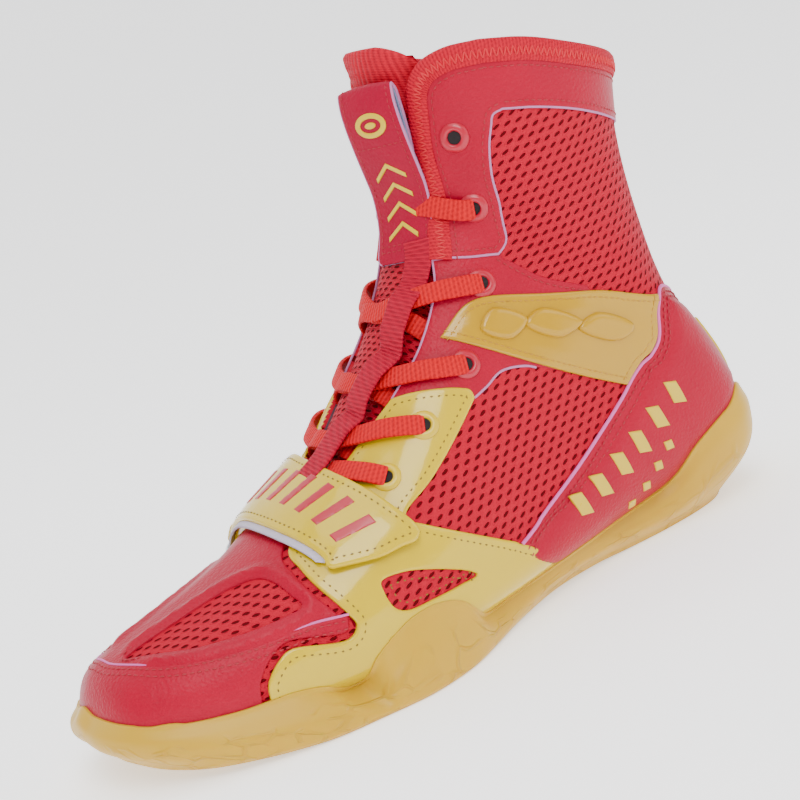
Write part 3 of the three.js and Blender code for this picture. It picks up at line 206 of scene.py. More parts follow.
# %% Places


def cubic(f):
    """The weights of the four grid points round a share f of a cell."""
    return np.stack([-0.5 * f + f ** 2 - 0.5 * f ** 3, 1 - 2.5 * f ** 2 + 1.5 * f ** 3,
                     0.5 * f + 2 * f ** 2 - 1.5 * f ** 3, -0.5 * f ** 2 + 0.5 * f ** 3], -1)


def sample(grid, t, v):
    """A grid's value at chart places. The girth closes on itself."""
    x = np.clip(np.asarray(t, float) / T_STEP, 0, len(grid) - 1.001)
    y = (np.asarray(v, float) + 1) / V_STEP
    i, j = np.floor(x).astype(int), np.floor(y).astype(int)
    wx, wy = cubic(x - i), cubic(y - j)
    total = 0
    for a in range(4):
        row = np.clip(i + a - 1, 0, len(grid) - 1)
        for b in range(4):
            weight = (wx[..., a] * wy[..., b])[..., None]
            total = total + weight * grid[row, (j + b - 1) % V_COUNT]
    return total


def put(t, v, off=0.0):
    """Points at chart places, an offset above the form."""
    off = np.asarray(off, float)[..., None]
    return sample(FORM, t, v) + unit(sample(OUT, t, v)) * off


def out_at(t, v):
    return unit(sample(OUT, t, v))


print("the ridge at the ball is at", put(7.0, 0.0).round(1))

# %% [markdown]
# A seam keeps its distance from an edge in millimetres, while the chart is stretched. `step` turns
# a real move into a chart move, by solving for the two directions of the grid.

# %% Moves


def dot(a, b):
    return (a * b).sum(-1)


def step(t, v, move):
    """Chart points moved by vectors that lie in the surface, in millimetres."""
    along, around = sample(ALONG, t, v), sample(AROUND, t, v)
    aa, ab, bb = dot(along, along), dot(along, around), dot(around, around)
    pa, pb = dot(move, along), dot(move, around)
    det = aa * bb - ab * ab
    return t + (pa * bb - pb * ab) / det, v + (pb * aa - pa * ab) / det


def half_girth(t, side=1):
    return np.interp(t, T_GRID, GIRTH[side])


def across_form(station, s, off, length):
    """A point at a length of girth from the ridge, moved a length up the stations."""
    side = np.where(np.asarray(s) < 0, -1, 1)
    girth = np.where(side < 0, half_girth(station, -1), half_girth(station, 1))
    rate = np.linalg.norm(sample(ALONG, station, s / girth), axis=-1)
    t = station + length / rate
    girth = np.where(side < 0, half_girth(t, -1), half_girth(t, 1))
    return put(t, s / girth, off)


print("half girth at the collar", half_girth(16.7).round(1), "mm")

# %% [markdown]
# ## Curves
# The edges of a panel are drawn as a pattern cutter draws them: a few points, and a curve through
# them. The centripetal kind is used, because it makes no loops where two points lie close.

# %% Curves
V_WEIGHT = 10


def run_length(points):
    """The length along a line of points, from its start to each of them."""
    return np.hstack([0, np.cumsum(np.linalg.norm(np.diff(points, axis=0), axis=1))])


def picked(line, arc, at):
    """The points of a line at given lengths along it."""
    return np.stack([np.interp(at, arc, line[:, k]) for k in range(line.shape[1])], -1)


def curve_through(points, steps=24, closed=False):
    """A centripetal curve through points of any dimension."""
    p = np.asarray(points, float)
    if closed:
        p = np.vstack([p[-1], p, p[0], p[1]])
    else:
        p = np.vstack([2 * p[0] - p[1], p, 2 * p[-1] - p[-2]])
    out = []
    for a, b, c, d in zip(p, p[1:], p[2:], p[3:]):
        gaps = [max(np.linalg.norm(q - r), 1e-6) ** 0.5 for q, r in ((a, b), (b, c), (c, d))]
        t0, t1, t2, t3 = np.cumsum([0, *gaps])
        t = np.linspace(t1, t2, steps, endpoint=False)[:, None]
        ab = ((t1 - t) * a + (t - t0) * b) / (t1 - t0)
        bc = ((t2 - t) * b + (t - t1) * c) / (t2 - t1)
        cd = ((t3 - t) * c + (t - t2) * d) / (t3 - t2)
        abc = ((t2 - t) * ab + (t - t0) * bc) / (t2 - t0)
        bcd = ((t3 - t) * bc + (t - t1) * cd) / (t3 - t1)
        out.append(((t2 - t) * abc + (t - t1) * bcd) / (t2 - t1))
    return np.vstack(out if closed else [*out, p[-2:-1]])


def spaced(line, pitch, where=None):
    """A line with its points a real distance apart."""
    real = (where or (lambda p: put(p[:, 0], p[:, 1])))(line)
    arc = run_length(real)
    count = max(int(round(arc[-1] / pitch)), 1)
    return picked(line, arc, np.linspace(0, arc[-1], count + 1))


def smooth(points, pitch=1.0, closed=False):
    """A curve through chart points, with its points a pitch apart."""
    scaled = np.asarray(points, float) * [1, V_WEIGHT]
    line = curve_through(scaled, closed=closed) / [1, V_WEIGHT]
    if closed:
        return spaced(np.vstack([line, line[:1]]), pitch)[:-1]
    return spaced(line, pitch)


print("a curve through a square's corners has", len(smooth([[5, 0], [6, 0], [6, 0.1], [5, 0.1]],
                                                            closed=True)), "points")

# %% [markdown]
# Lines are then mirrored, moved sideways and joined into closed outlines, so that two panels that
# meet share one edge.

# %% Line tools


def mirrored(line):
    """The line on the other side of the foot."""
    return np.asarray(line, float) * [1, -1]


def past_base(line):
    """The mirrored line, with its shares counted on past the base."""
    return np.asarray(line, float) * [1, -1] + [0, 2]


def sided(line, side):
    return np.asarray(line, float) * [1, side]


def shifted(line, distance):
    """An open line moved to its left by a distance on the surface."""
    t, v = line[:, 0], line[:, 1]
    real = put(t, v)
    run = unit(np.gradient(real, axis=0))
    left = np.cross(run, out_at(t, v))
    return np.stack(step(t, v, left * np.asarray(distance, float)[..., None]), -1)


def joined(*lines):
    """One closed outline out of lines that meet end to end."""
    all_points = np.vstack(lines)
    gap = np.linalg.norm((all_points - np.roll(all_points, -1, 0)) * [1, V_WEIGHT], axis=1)
    return all_points[gap > 1e-3]


def part_of(line, first, last):
    """The stretch of a line between the points nearest to two places."""
    first, last = (int(np.argmin(np.linalg.norm((line - p) * [1, V_WEIGHT], axis=1)))
                   for p in (first, last))
    return line[first:last + 1]


def closed_line(line):
    return np.vstack([line, line[:1]])


def straight_sides(corners, count=8):
    """An outline with points along the straight sides between its corners."""
    corners = np.asarray(corners, float)
    return np.vstack([np.linspace(a, b, count, endpoint=False)
                      for a, b in zip(corners, np.roll(corners, -1, 0))])


def stepped(x, low, high):
    """A smooth step from 0 at low to 1 at high."""
    f = np.clip((np.asarray(x, float) - low) / (high - low), 0, 1)
    return f * f * (3 - 2 * f)


print("a square with points along its sides has",
      len(straight_sides([[0, 0], [1, 0], [1, 1], [0, 1]])), "of them")

# %% [markdown]
# ## Lines of the panels
# Every seam line of the outer side is here, as rows of a station and a share of the half girth.
# The medial side uses the same lines, mirrored.

# %% Lines
THROAT_START = 6.45
THROAT_LOW = [[THROAT_START, 0], [6.50, 0.07], [6.75, 0.13]]
THROAT_PATENT = [[6.75, 0.13], [7.50, 0.142], [8.15, 0.158]]
THROAT_MIDDLE = [[8.15, 0.158], [9.00, 0.161], [10.10, 0.141], [10.66, 0.115]]
THROAT_SHAFT = [[10.66, 0.115], [11.50, 0.092], [13.40, 0.093], [15.00, 0.122],
                [15.80, 0.146], [16.25, 0.184], [16.55, 0.25], [16.70, 0.34]]
COLLAR = [[16.70, 0.34], [16.74, 0.45], [16.70, 0.60], [16.66, 0.80], [16.62, 1.0]]
EYESTAY_HEM = [[10.66, 0.115], [11.00, 0.157], [11.18, 0.179], [11.62, 0.222]]
WINDOW_FRONT = [[11.62, 0.222], [12.06, 0.23], [12.57, 0.233], [13.72, 0.26],
                [14.75, 0.297], [15.21, 0.321], [15.47, 0.336], [15.64, 0.367]]
WINDOW_TOP = [[15.64, 0.367], [15.80, 0.453], [15.93, 0.577], [16.02, 0.818], [16.05, 1.0]]
WINDOW_SILL = [[11.62, 0.222], [11.66, 0.263], [11.75, 0.31], [12.24, 0.404]]
LOW_WINDOW = [[10.20, 0.40], [10.09, 0.38], [9.70, 0.341], [9.35, 0.332], [9.06, 0.322]]
PATENT_TOP = [[8.15, 0.158], [8.59, 0.222], [8.98, 0.280], [9.10, 0.305], [9.06, 0.322]]
PATENT_BACK = [[9.06, 0.322], [8.82, 0.327], [7.71, 0.348], [7.12, 0.350], [7.03, 0.362],
               [7.20, 0.401]]
PATENT_HEM = [[7.20, 0.401], [8.29, 0.62], [8.90, 0.786]]
COUNTER_EDGE = [[8.29, 0.62], [8.95, 0.619], [9.80, 0.612], [10.86, 0.585], [11.54, 0.567],
                [12.56, 0.588], [13.30, 0.65], [13.66, 0.71], [13.90, 0.80], [14.00, 0.90],
                [14.02, 1.0]]
PATENT_FRONT = [[6.75, 0.13], [6.10, 0.155], [5.61, 0.205], [5.54, 0.28], [5.56, 0.349],
                [5.72, 0.454]]
PATENT_NOSE = [[5.72, 0.454], [5.75, 0.49], [5.60, 0.508], [4.85, 0.455], [4.68, 0.465],
               [4.42, 0.51], [4.35, 0.569]]
GUARD_LINE = [[2.28, 0], [2.32, 0.10], [2.60, 0.20], [3.19, 0.312], [3.99, 0.372],
              [4.74, 0.407], [5.21, 0.422], [5.72, 0.454]]
SOLE_RIM = [[0.15, 0], [0.26, 0.36], [0.70, 0.46], [1.70, 0.51], [2.70, 0.54],
            [3.70, 0.562], [4.35, 0.569], [4.70, 0.574], [5.10, 0.595], [5.55, 0.64],
            [5.85, 0.59], [6.30, 0.558], [6.75, 0.563], [7.10, 0.60], [7.45, 0.69],
            [8.00, 0.74], [8.90, 0.786], [9.50, 0.825], [10.00, 0.845], [10.50, 0.845],
            [11.10, 0.80], [11.80, 0.782], [12.45, 0.83], [12.85, 1.0]]
TOE_WINDOW = [[2.70, 0.125], [4.19, 0.132], [4.76, 0.162], [5.08, 0.21], [5.24, 0.33],
              [5.26, 0.372], [5.04, 0.37], [4.44, 0.35], [3.70, 0.30], [2.95, 0.19]]
PATENT_WINDOW = [[6.30, 0.435], [6.62, 0.451], [7.34, 0.545], [7.50, 0.585], [7.24, 0.570],
                 [6.84, 0.550], [6.45, 0.531], [6.30, 0.507], [6.26, 0.457]]
BAND_TOP = [[9.42, 0.193], [10.31, 0.214], [11.34, 0.317], [12.31, 0.432], [13.30, 0.645]]
BAND_END = [[13.30, 0.645], [12.56, 0.583], [11.54, 0.562], [11.05, 0.575]]
BAND_LOW = [[11.05, 0.575], [10.62, 0.481], [10.08, 0.355], [9.42, 0.193]]
EYELETS = [[14.66, 0.213], [12.55, 0.176], [10.81, 0.218], [9.36, 0.268], [8.15, 0.262],
           [7.20, 0.262]]

throat = np.vstack([smooth(THROAT_LOW), smooth(THROAT_PATENT)[1:], smooth(THROAT_MIDDLE)[1:],
                    smooth(THROAT_SHAFT)[1:]])
rim = smooth(SOLE_RIM)
edge_line = np.vstack([smooth(THROAT_SHAFT), smooth(COLLAR)[1:]])
edge_line = np.vstack([edge_line, past_base(edge_line)[::-1][1:]])
print("throat", len(throat), "rim", len(rim), "collar edge", len(edge_line), "points")

# %% [markdown]
# Three measures follow from the lines: how high the collar is round the leg, how wide the throat
# is open, and how far the padded tongue swells into it.

# %% Throat and tongue


def collar_station(v):
    line = np.array([[16.95, 0], [16.90, 0.26], *COLLAR])
    return np.interp(np.abs(((np.asarray(v, float) + 1) % 2) - 1), line[:, 1], line[:, 0])


def throat_share(t):
    return np.where(t < THROAT_START, 0, np.interp(t, throat[:, 0], throat[:, 1]))


def tongue_swell(t, v):
    """How far the tongue stands out between the eyestays. It is thicker at the shin."""
    reach = np.maximum(np.interp(t, throat[:, 0], throat[:, 1]) - 0.015, 0.02)
    rise = 3.4 + 3.4 * stepped(t, 11.2, 15.5)
    return rise * stepped(t, 6.6, 7.1) * np.maximum(1 - (v / reach) ** 2, 0)


print("the tongue swells by up to", tongue_swell(16.0, 0.0).round(1), "mm")

# %% [markdown]
# ## Meshes
# Every piece is a closed mesh with a UV map in millimetres, so that weaves and ribs have their
# real size. Doubled points are merged and the faces turned outwards before the piece is used.

# %% Meshes


def mesh_object(name, points, faces, uv=None, sharp=40):
    """An object at the origin. Its name is its own, also where a solid has the same one."""
    mesh = bpy.data.meshes.new(name)
    mesh.from_pydata((np.asarray(points) * MM).tolist(), [], [list(map(int, f)) for f in faces])
    if uv is not None:
        layer = mesh.uv_layers.new(name="UVMap")
        index = np.zeros(len(mesh.loops), int)
        mesh.loops.foreach_get("vertex_index", index)
        layer.data.foreach_set("uv", np.asarray(uv, np.float32)[index].ravel())
    work = bmesh.new()
    work.from_mesh(mesh)
    bmesh.ops.remove_doubles(work, verts=work.verts, dist=2e-6)
    bmesh.ops.recalc_face_normals(work, faces=work.faces)
    work.to_mesh(mesh)
    work.free()
    mesh.shade_smooth()
    mesh.set_sharp_from_angle(angle=math.radians(sharp))
    own = f"{name}_dressed" if name in bpy.data.objects else name
    obj = bpy.data.objects.new(own, mesh)
    bpy.context.scene.collection.objects.link(obj)
    return obj


made = []


def adopt(obj, material, slot, *nodes):
    """Gives a piece its finish, and lets it stand for CAD nodes."""
    if material is not None:
        obj.data.materials.clear()
        obj.data.materials.append(material)
    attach(obj, "root")
    if nodes:
        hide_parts(*nodes)
    obj.data.calc_loop_triangles()
    made.append((obj.name, len(obj.data.loop_triangles)))
    return obj


print("pieces so far:", len(made))

# %% [markdown]
# Three ways of making faces are enough for this shoe: a grid, a sheet with two faces, and a
# section that is swept along a path, for laces, tubes and piping.

# %% Faces


def merged(parts):
    """Several (points, faces, uv) as one."""
    points, faces, uvs, start = [], [], [], 0
    for p, f, uv in parts:
        points.append(p)
        uvs.append(uv)
        faces += [[i + start for i in face] for face in f]
        start += len(p)
    return np.vstack(points), faces, np.vstack(uvs)


def grid_faces(rows, columns, closed_columns=False):
    """The four-sided faces of a grid of points, row by row."""
    faces = []
    for i in range(rows - 1):
        for j in range(columns if closed_columns else columns - 1):
            k = (j + 1) % columns
            faces.append([i * columns + j, (i + 1) * columns + j, (i + 1) * columns + k,
                          i * columns + k])
    return faces


def shell(outer, inner, uv):
    """A closed sheet between two grids of points."""
    rows, columns = outer.shape[:2]
    count = rows * columns
    faces = grid_faces(rows, columns)
    faces += [[i + count for i in f[::-1]] for f in faces]
    ring = [j for j in range(columns)] + [i * columns + columns - 1 for i in range(1, rows)]
    ring += [(rows - 1) * columns + j for j in range(columns - 2, -1, -1)]
    ring += [i * columns for i in range(rows - 2, 0, -1)]
    faces += [[a, b, b + count, a + count] for a, b in zip(ring, ring[1:] + ring[:1])]
    points = np.vstack([outer.reshape(-1, 3), inner.reshape(-1, 3)])
    flat = uv.reshape(-1, 2)
    return points, faces, np.vstack([flat, flat])


def sweep(path, outs, section, closed=False):
    """A section of (sideways, up) points run along a path. It may change along the path."""
    path, outs = np.asarray(path, float), unit(np.asarray(outs, float))
    count = len(path)
    if closed:
        run = unit(np.roll(path, -1, 0) - np.roll(path, 1, 0))
    else:
        run = unit(np.gradient(path, axis=0))
    side = unit(np.cross(run, outs))
    up = np.cross(side, run)
    section = np.asarray(section, float)
    if section.ndim == 2:
        section = np.tile(section, (count, 1, 1))
    sides = section.shape[1]
    points = path[:, None] + side[:, None] * section[..., :1] + up[:, None] * section[..., 1:]
    arc = run_length(path)
    faces = grid_faces(count, sides, closed_columns=True)
    if closed:
        last = (count - 1) * sides
        faces += [[last + j, j, (j + 1) % sides, last + (j + 1) % sides] for j in range(sides)]
    else:
        faces += [list(range(sides)), list(range(count * sides - 1, (count - 1) * sides - 1, -1))]
    uv = np.stack([np.tile(arc[:, None], (1, sides)), section[..., 0]], -1)
    return points.reshape(-1, 3), faces, uv.reshape(-1, 2)


def oval(width, height, sides=12, square=2.0):
    """A round section. A larger square makes it a flat one with rounded edges."""
    a = np.arange(sides) / sides * 2 * math.pi
    power = 2 / square
    return np.stack([np.sign(np.cos(a)) * np.abs(np.cos(a)) ** power * width / 2,
                     np.sign(np.sin(a)) * np.abs(np.sin(a)) ** power * height / 2], -1)


print("a lace's section has", len(oval(LACE_WIDTH, LACE_THICKNESS, 28, 5.0)), "points")

# %% [markdown]
# ## Panels
# A panel is cut flat and then laid on the last. Here its outline is filled with triangles in a
# chart that is nearly true to size, where the stations are spaced by a length along the side.

# %% Foot chart
SIDE_SHARE = 0.4
ALONG_LENGTH = run_length(FORM[:, int((1 + SIDE_SHARE) / V_STEP)])


class FootChart:
    """Turns chart places flat, back again, and into points on the form."""

    def flat(self, line):
        t, v = line[:, 0], line[:, 1]
        return np.stack([np.interp(t, T_GRID, ALONG_LENGTH), v * half_girth(t)], -1)

    def back(self, flat):
        t = np.interp(flat[:, 0], ALONG_LENGTH, T_GRID)
        return np.stack([t, flat[:, 1] / half_girth(t)], -1)

    def put(self, line, off):
        return put(line[:, 0], line[:, 1], off)


FOOT = FootChart()
print("the foot's side is", ALONG_LENGTH[-1].round(), "mm long")

# %% [markdown]
# The fill needs two measures: whether a point is inside the outline and outside its holes, and how
# far it is from the nearest edge. The second also rounds the edge and raises the padding.

# %% Outline measures


def inside(points, loops):
    """Counts the edges to the right of each point. An odd number means inside."""
    odd = np.zeros(len(points), bool)
    for loop in loops:
        a, b = loop, np.roll(loop, -1, 0)
        for k in range(0, len(points), 4000):
            p = points[k:k + 4000, None]
            crosses = (a[None, :, 1] > p[..., 1]) != (b[None, :, 1] > p[..., 1])
            slope = (b[:, 0] - a[:, 0]) / np.where(b[:, 1] == a[:, 1], 1e-9, b[:, 1] - a[:, 1])
            at = a[None, :, 0] + (p[..., 1] - a[None, :, 1]) * slope
            odd[k:k + 4000] ^= (crosses & (p[..., 0] < at)).sum(1) % 2 == 1
    return odd


def distances(points, loops):
    """How far each point is from the nearest of some closed outlines."""
    dense = []
    for loop in loops:
        closed = closed_line(loop)
        for f in (0, 0.25, 0.5, 0.75):
            dense.append(closed[:-1] * (1 - f) + closed[1:] * f)
    dense = np.vstack(dense)
    tree = kdtree.KDTree(len(dense))
    for k, p in enumerate(dense):
        tree.insert(p, k)
    tree.balance()
    return np.array([tree.find(p)[2] for p in points])


SQUARE = np.array([[0, 0], [1, 0], [1, 1], [0, 1.0]])
print("the middle of a square is inside:", inside(np.array([[0.5, 0.5]]), [SQUARE])[0])

# %% [markdown]
# A Boolean cut would leave long thin triangles on a curved form. Instead the points are set in
# rows along each edge and in a triangle pattern between them, and a constrained Delaunay
# triangulation joins them. A cut leather edge is blunt and soft, so the height starts at a share
# of the thickness and reaches the rest in a quarter circle.

# %% Slab
EDGE_ROWS = (0.15, 0.45, 0.9, 1.5)
ROW_SHARE = 0.87


def slab(outline, holes=(), base=0.0, height=1.1, edge=0.9, pitch=2.2, sink=0.7, relief=None,
         chart=FOOT, blunt=0.45):
    """(points, faces, uv) of a panel. relief adds to the height: relief(line, distance)."""
    loops = [np.asarray(outline, float), *[np.asarray(h, float) for h in holes]]
    flats = [chart.flat(loop) for loop in loops]
    candidates, wanted = [], []
    for flat in flats:
        run = unit(np.roll(flat, -1, 0) - np.roll(flat, 1, 0))
        side = np.stack([-run[:, 1], run[:, 0]], -1)
        for share in EDGE_ROWS:
            for turn in (1, -1):
                candidates.append(flat + side * turn * share * edge)
                wanted.append(np.full(len(flat), share * edge))
    low, high = flats[0].min(0), flats[0].max(0)
    rows = np.arange(low[1], high[1], pitch * ROW_SHARE)
    for k, y in enumerate(rows):
        x = np.arange(low[0] + (k % 2) * pitch / 2, high[0], pitch)
        candidates.append(np.stack([x, np.full(len(x), y)], -1))
        wanted.append(np.full(len(x), edge * 1.5 + pitch * 0.4))
    candidates, wanted = np.vstack(candidates), np.hstack(wanted)
    keep = inside(candidates, flats)
    candidates, wanted = candidates[keep], wanted[keep]
    reals = [chart.put(loop, np.full(len(loop), base)) for loop in loops]
    chosen = chart.back(candidates)
    far = distances(chart.put(chosen, np.full(len(chosen), base)), reals)
    keep = far > 0.75 * wanted
    candidates = candidates[keep]
    flat_points = np.vstack([*flats, candidates])
    edges, start = [], 0
    for flat in flats:
        edges += [(start + k, start + (k + 1) % len(flat)) for k in range(len(flat))]
        start += len(flat)
    verts, _, faces, *_ = delaunay_2d_cdt([Vector(p) for p in flat_points], edges, [], 0, 1e-4)
    verts = np.array([tuple(p) for p in verts])
    faces = np.array([f for f in faces if len(f) == 3])
    faces = faces[inside(verts[faces].mean(1), flats)]
    used = np.unique(faces)
    remap = np.full(len(verts), -1)
    remap[used] = np.arange(len(used))
    verts, faces = verts[used], remap[faces]
    line = chart.back(verts)
    ground = chart.put(line, np.full(len(line), base))
    far = distances(ground, reals)
    round_edge = np.sqrt(np.clip(1 - (1 - np.minimum(far / edge, 1)) ** 2, 0, 1))
    lift = height * (blunt + (1 - blunt) * round_edge)
    if relief is not None:
        lift = lift + relief(line, far)
    top = chart.put(line, base + lift)
    bottom = chart.put(line, np.full(len(line), base - sink))
    count = len(verts)
    directed = {(int(a), int(b)) for f in faces for a, b in zip(f, np.roll(f, -1))}
    walls = [[b, a, a + count, b + count] for a, b in directed if (b, a) not in directed]
    all_faces = [list(f) for f in faces] + [[c + count, b + count, a + count] for a, b, c in faces]
    return np.vstack([top, bottom]), all_faces + walls, np.vstack([verts, verts])


def panel(name, material, slot, nodes, outlines, **options):
    """One piece out of one or more outlines, each with its holes."""
    parts = [slab(outline, holes, **options) for outline, holes in outlines]
    return adopt(mesh_object(name, *merged(parts)), material, slot, *nodes)


print("a panel's edge has", len(EDGE_ROWS), "rows of points")

# %% [markdown]
# ## Shader maths
# A material is worked out by nodes. This small wrapper turns their sockets into values with
# ordinary arithmetic, so that a pattern reads as the formula that it is.

# %% Shader maths


class Value:
    def __init__(self, shader, socket):
        self.shader, self.socket = shader, socket

    def __add__(self, other): return self.shader.maths("ADD", self, other)
    def __radd__(self, other): return self.shader.maths("ADD", other, self)
    def __sub__(self, other): return self.shader.maths("SUBTRACT", self, other)
    def __rsub__(self, other): return self.shader.maths("SUBTRACT", other, self)
    def __mul__(self, other): return self.shader.maths("MULTIPLY", self, other)
    def __rmul__(self, other): return self.shader.maths("MULTIPLY", other, self)
    def __truediv__(self, other): return self.shader.maths("DIVIDE", self, other)
    def __rtruediv__(self, other): return self.shader.maths("DIVIDE", other, self)
    def __pow__(self, other): return self.shader.maths("POWER", self, other)

    def floor(self): return self.shader.maths("FLOOR", self)
    def fract(self): return self.shader.maths("FRACT", self)
    def sin(self): return self.shader.maths("SINE", self)
    def root(self): return self.shader.maths("SQRT", self)

    def step(self, low, high):
        node = self.shader.node("MapRange", {0: self, 1: low, 2: high},
                                interpolation_type="SMOOTHSTEP")
        return Value(self.shader, node.outputs[0])


class Shader:
    def __init__(self, name, color, roughness, **constants):
        self.material = bpy.data.materials.new(name)
        self.material.use_nodes = True
        self.tree = self.material.node_tree
        self.surface = self.tree.nodes["Principled BSDF"]
        self.set("Base Color", (*color, 1))
        self.set("Roughness", roughness)
        for key, value in constants.items():
            self.set(key.replace("_", " "), value)
        self.material.diffuse_color = (*color, 1)

    def node(self, kind, values=None, **settings):
        made_node = self.tree.nodes.new("ShaderNode" + kind)
        for key, value in settings.items():
            setattr(made_node, key, value)
        for key, value in (values or {}).items():
            if isinstance(value, Value):
                self.tree.links.new(value.socket, made_node.inputs[key])
            else:
                made_node.inputs[key].default_value = value
        return made_node

    def maths(self, operation, *values):
        node = self.node("Math", dict(enumerate(values)), operation=operation)
        return Value(self, node.outputs[0])

    def set(self, name, value):
        socket = self.surface.inputs[name]
        if isinstance(value, Value):
            self.tree.links.new(value.socket, socket)
        else:
            socket.default_value = value

    def uv(self):
        node = self.node("SeparateXYZ", {0: Value(self, self.node("TexCoord").outputs["UV"])})
        return Value(self, node.outputs[0]), Value(self, node.outputs[1])

    def place(self):
        """Object coordinates in millimetres."""
        at = Value(self, self.node("TexCoord").outputs["Object"])
        node = self.node("VectorMath", {0: at, 3: 1000.0}, operation="SCALE")
        return Value(self, node.outputs[0])

    def vector(self, x, y, z=0.0):
        return Value(self, self.node("CombineXYZ", {0: x, 1: y, 2: z}).outputs[0])

    def noise(self, vector, scale, detail=2.0):
        node = self.node("TexNoise", {"Vector": vector, "Scale": scale, "Detail": detail})
        return Value(self, node.outputs[0])

    def cells(self, vector, scale, feature):
        node = self.node("TexVoronoi", {"Vector": vector, "Scale": scale}, feature=feature)
        return Value(self, node.outputs["Distance"])

    def blend(self, factor, a, b):
        node = self.node("Mix", data_type="RGBA")
        for key, value in ((0, factor), (6, a), (7, b)):
            if isinstance(value, Value):
                self.tree.links.new(value.socket, node.inputs[key])
            else:
                node.inputs[key].default_value = value if key == 0 else (*value, 1)
        return Value(self, node.outputs[2])

    def relief(self, height, depth):
        """Bump whose full height is a depth in millimetres."""
        node = self.node("Bump", {"Height": height, "Strength": 1.0, "Distance": depth * MM})
        self.set("Normal", Value(self, node.outputs[0]))


print(len([name for name in dir(Shader) if not name.startswith("_")]), "ways to add nodes")

# %% [markdown]
# ## Mesh fabric
# The sock is a warp-knit spacer fabric. Its face has rows of slanted oval holes, and their dark
# colour is painted shade: the shade in their depth and on the layer below. Real holes would be
# hundreds of cuts a panel, so the pattern is painted and pressed in by a bump, which lies in the UV
# map and keeps its size on the curved foot.

# %% Mesh fabric
RED = (0.36, 0.0, 0.022)
MESH = (0.45, 0.0, 0.020)
# The colour of the mesh holes is painted shade, dark as their depth would be in shade.
HOLE_SHADE = (0.09, 0.0, 0.002)
YELLOW = (0.60, 0.42, 0.0)
GOLD = (0.46, 0.25, 0.0)


def toned(color, share):
    """A lighter or darker shade of a colour."""
    return [min(c * share, 1) for c in color]


def mesh_fabric(name, color, dark, row=3.0, pitch=4.3, length=1.36, width=0.50, slant=0.42):
    """A warp-knit face with rows of slanted oval holes, coloured with painted shade."""
    s = Shader(name, color, 0.75, Specular_IOR_Level=0.12)
    u, v = s.uv()
    wobble = s.noise(s.vector(u, v), 0.35)
    v = v + (wobble - 0.5) * 0.5
    line = (v / row).floor()
    y = ((v / row).fract() - 0.5) * row
    x = ((u / pitch + (line * 0.5).fract()).fract() - 0.5) * pitch
    along = x * math.cos(slant) + y * math.sin(slant)
    across = y * math.cos(slant) - x * math.sin(slant)
    radius = ((along / length) ** 2.0 + (across / width) ** 2.0).root()
    hole = 1.0 - radius.step(0.72, 1.12)
    lip = radius.step(0.8, 1.25) * (1.0 - radius.step(1.25, 2.1))
    thread = ((u + v * 0.6) * 7.0).sin() * ((v - u * 0.4) * 9.0).sin()
    shade = s.noise(s.vector(u, v), 0.9, 3.0)
    face = s.blend(shade, toned(color, 0.86), toned(color, 1.1))
    # The holes take the dark colour: painted shade.
    s.set("Base Color", s.blend(hole, face, dark))
    s.set("Roughness", 0.62 + hole * 0.3)
    s.relief(lip * 0.5 - hole * 1.2 + thread * 0.06, 0.45)
    return s.material


FABRIC = mesh_fabric("mesh_fabric", MESH, HOLE_SHADE)
TONGUE_FABRIC = mesh_fabric("tongue_fabric", MESH, HOLE_SHADE, row=2.4, pitch=3.0, length=0.95)
print("fabrics", FABRIC.name, TONGUE_FABRIC.name)

# %% [markdown]
# ## Leather and patent
# The leather is a coated one with a pressed pebble grain, so cells of a millimetre make its bump.
# Patent is the same base under a clear film: smooth, with soft waves that bend its highlights.

# %% Leather and patent


def leather(name, color, roughness=0.38, grain=1.0, depth=0.24):
    """Pebbled leather with broad soft waves."""
    s = Shader(name, color, roughness, Specular_IOR_Level=0.14)
    at = s.place()
    pebbles = s.cells(at, grain, feature="SMOOTH_F1")
    fine = s.noise(at, 2.6, 3.0)
    broad = s.noise(at, 0.06, 2.0)
    s.set("Base Color", s.blend(broad, toned(color, 0.88), toned(color, 1.08)))
    s.set("Roughness", roughness - 0.08 + fine * 0.16)
    s.relief((1.0 - pebbles) * 0.8 + fine * 0.35 + broad * 2.0, depth)
    return s.material


def patent(name, color, waves=0.5):
    """A glossy film over leather."""
    s = Shader(name, color, 0.2, Specular_IOR_Level=0.25, Coat_Weight=0.35,
               Coat_Roughness=0.04)
    at = s.place()
    broad = s.noise(at, 0.045, 1.0)
    middle = s.noise(at, 0.16, 2.0)
    fine = s.noise(at, 2.2, 2.0)
    s.set("Base Color", s.blend(middle, toned(color, 0.95), color))
    s.relief(broad * 2.0 + middle * 0.35 + fine * 0.012, waves)
    return s.material


LEATHER = leather("leather_red", RED)
TAB_LEATHER = leather("tab_leather", (0.31, 0.0, 0.024), 0.4)
PATENT = patent("patent_yellow", YELLOW)
BAND = patent("band_gold", GOLD, 0.35)
print("leathers", LEATHER.name, TAB_LEATHER.name, PATENT.name, BAND.name)

# %% [markdown]
# ## Tapes, gum and linings
# Laces, binding and webbing are woven tapes, and their ribs run across the UV map. The gum sole is
# slightly translucent, with a net of raised veins low on its side.

# %% Tapes, gum and linings


def ribbed(name, color, rib=1.1, across=1.3, depth=0.22, roughness=0.6):
    """Woven tape: ribs across the run, broken by threads along it, with painted shade in its grooves.
    """
    s = Shader(name, color, roughness, Specular_IOR_Level=0.15)
    u, v = s.uv()
    cord = (u * (2 * math.pi / rib)).sin()
    thread = (v * (2 * math.pi / across) + u * 1.7).sin()
    fuzz = s.noise(s.vector(u, v), 2.5, 3.0)
    height = cord * 0.5 + thread * 0.22 + fuzz * 0.5
    # Painted shade: the colour darkens where the weave is low, in the grooves between the ribs.
    shade = (height * 0.5 + 0.5).step(0.1, 0.9)
    s.set("Base Color", s.blend(shade, toned(color, 0.62), toned(color, 1.08)))
    s.relief(height, depth)
    return s.material


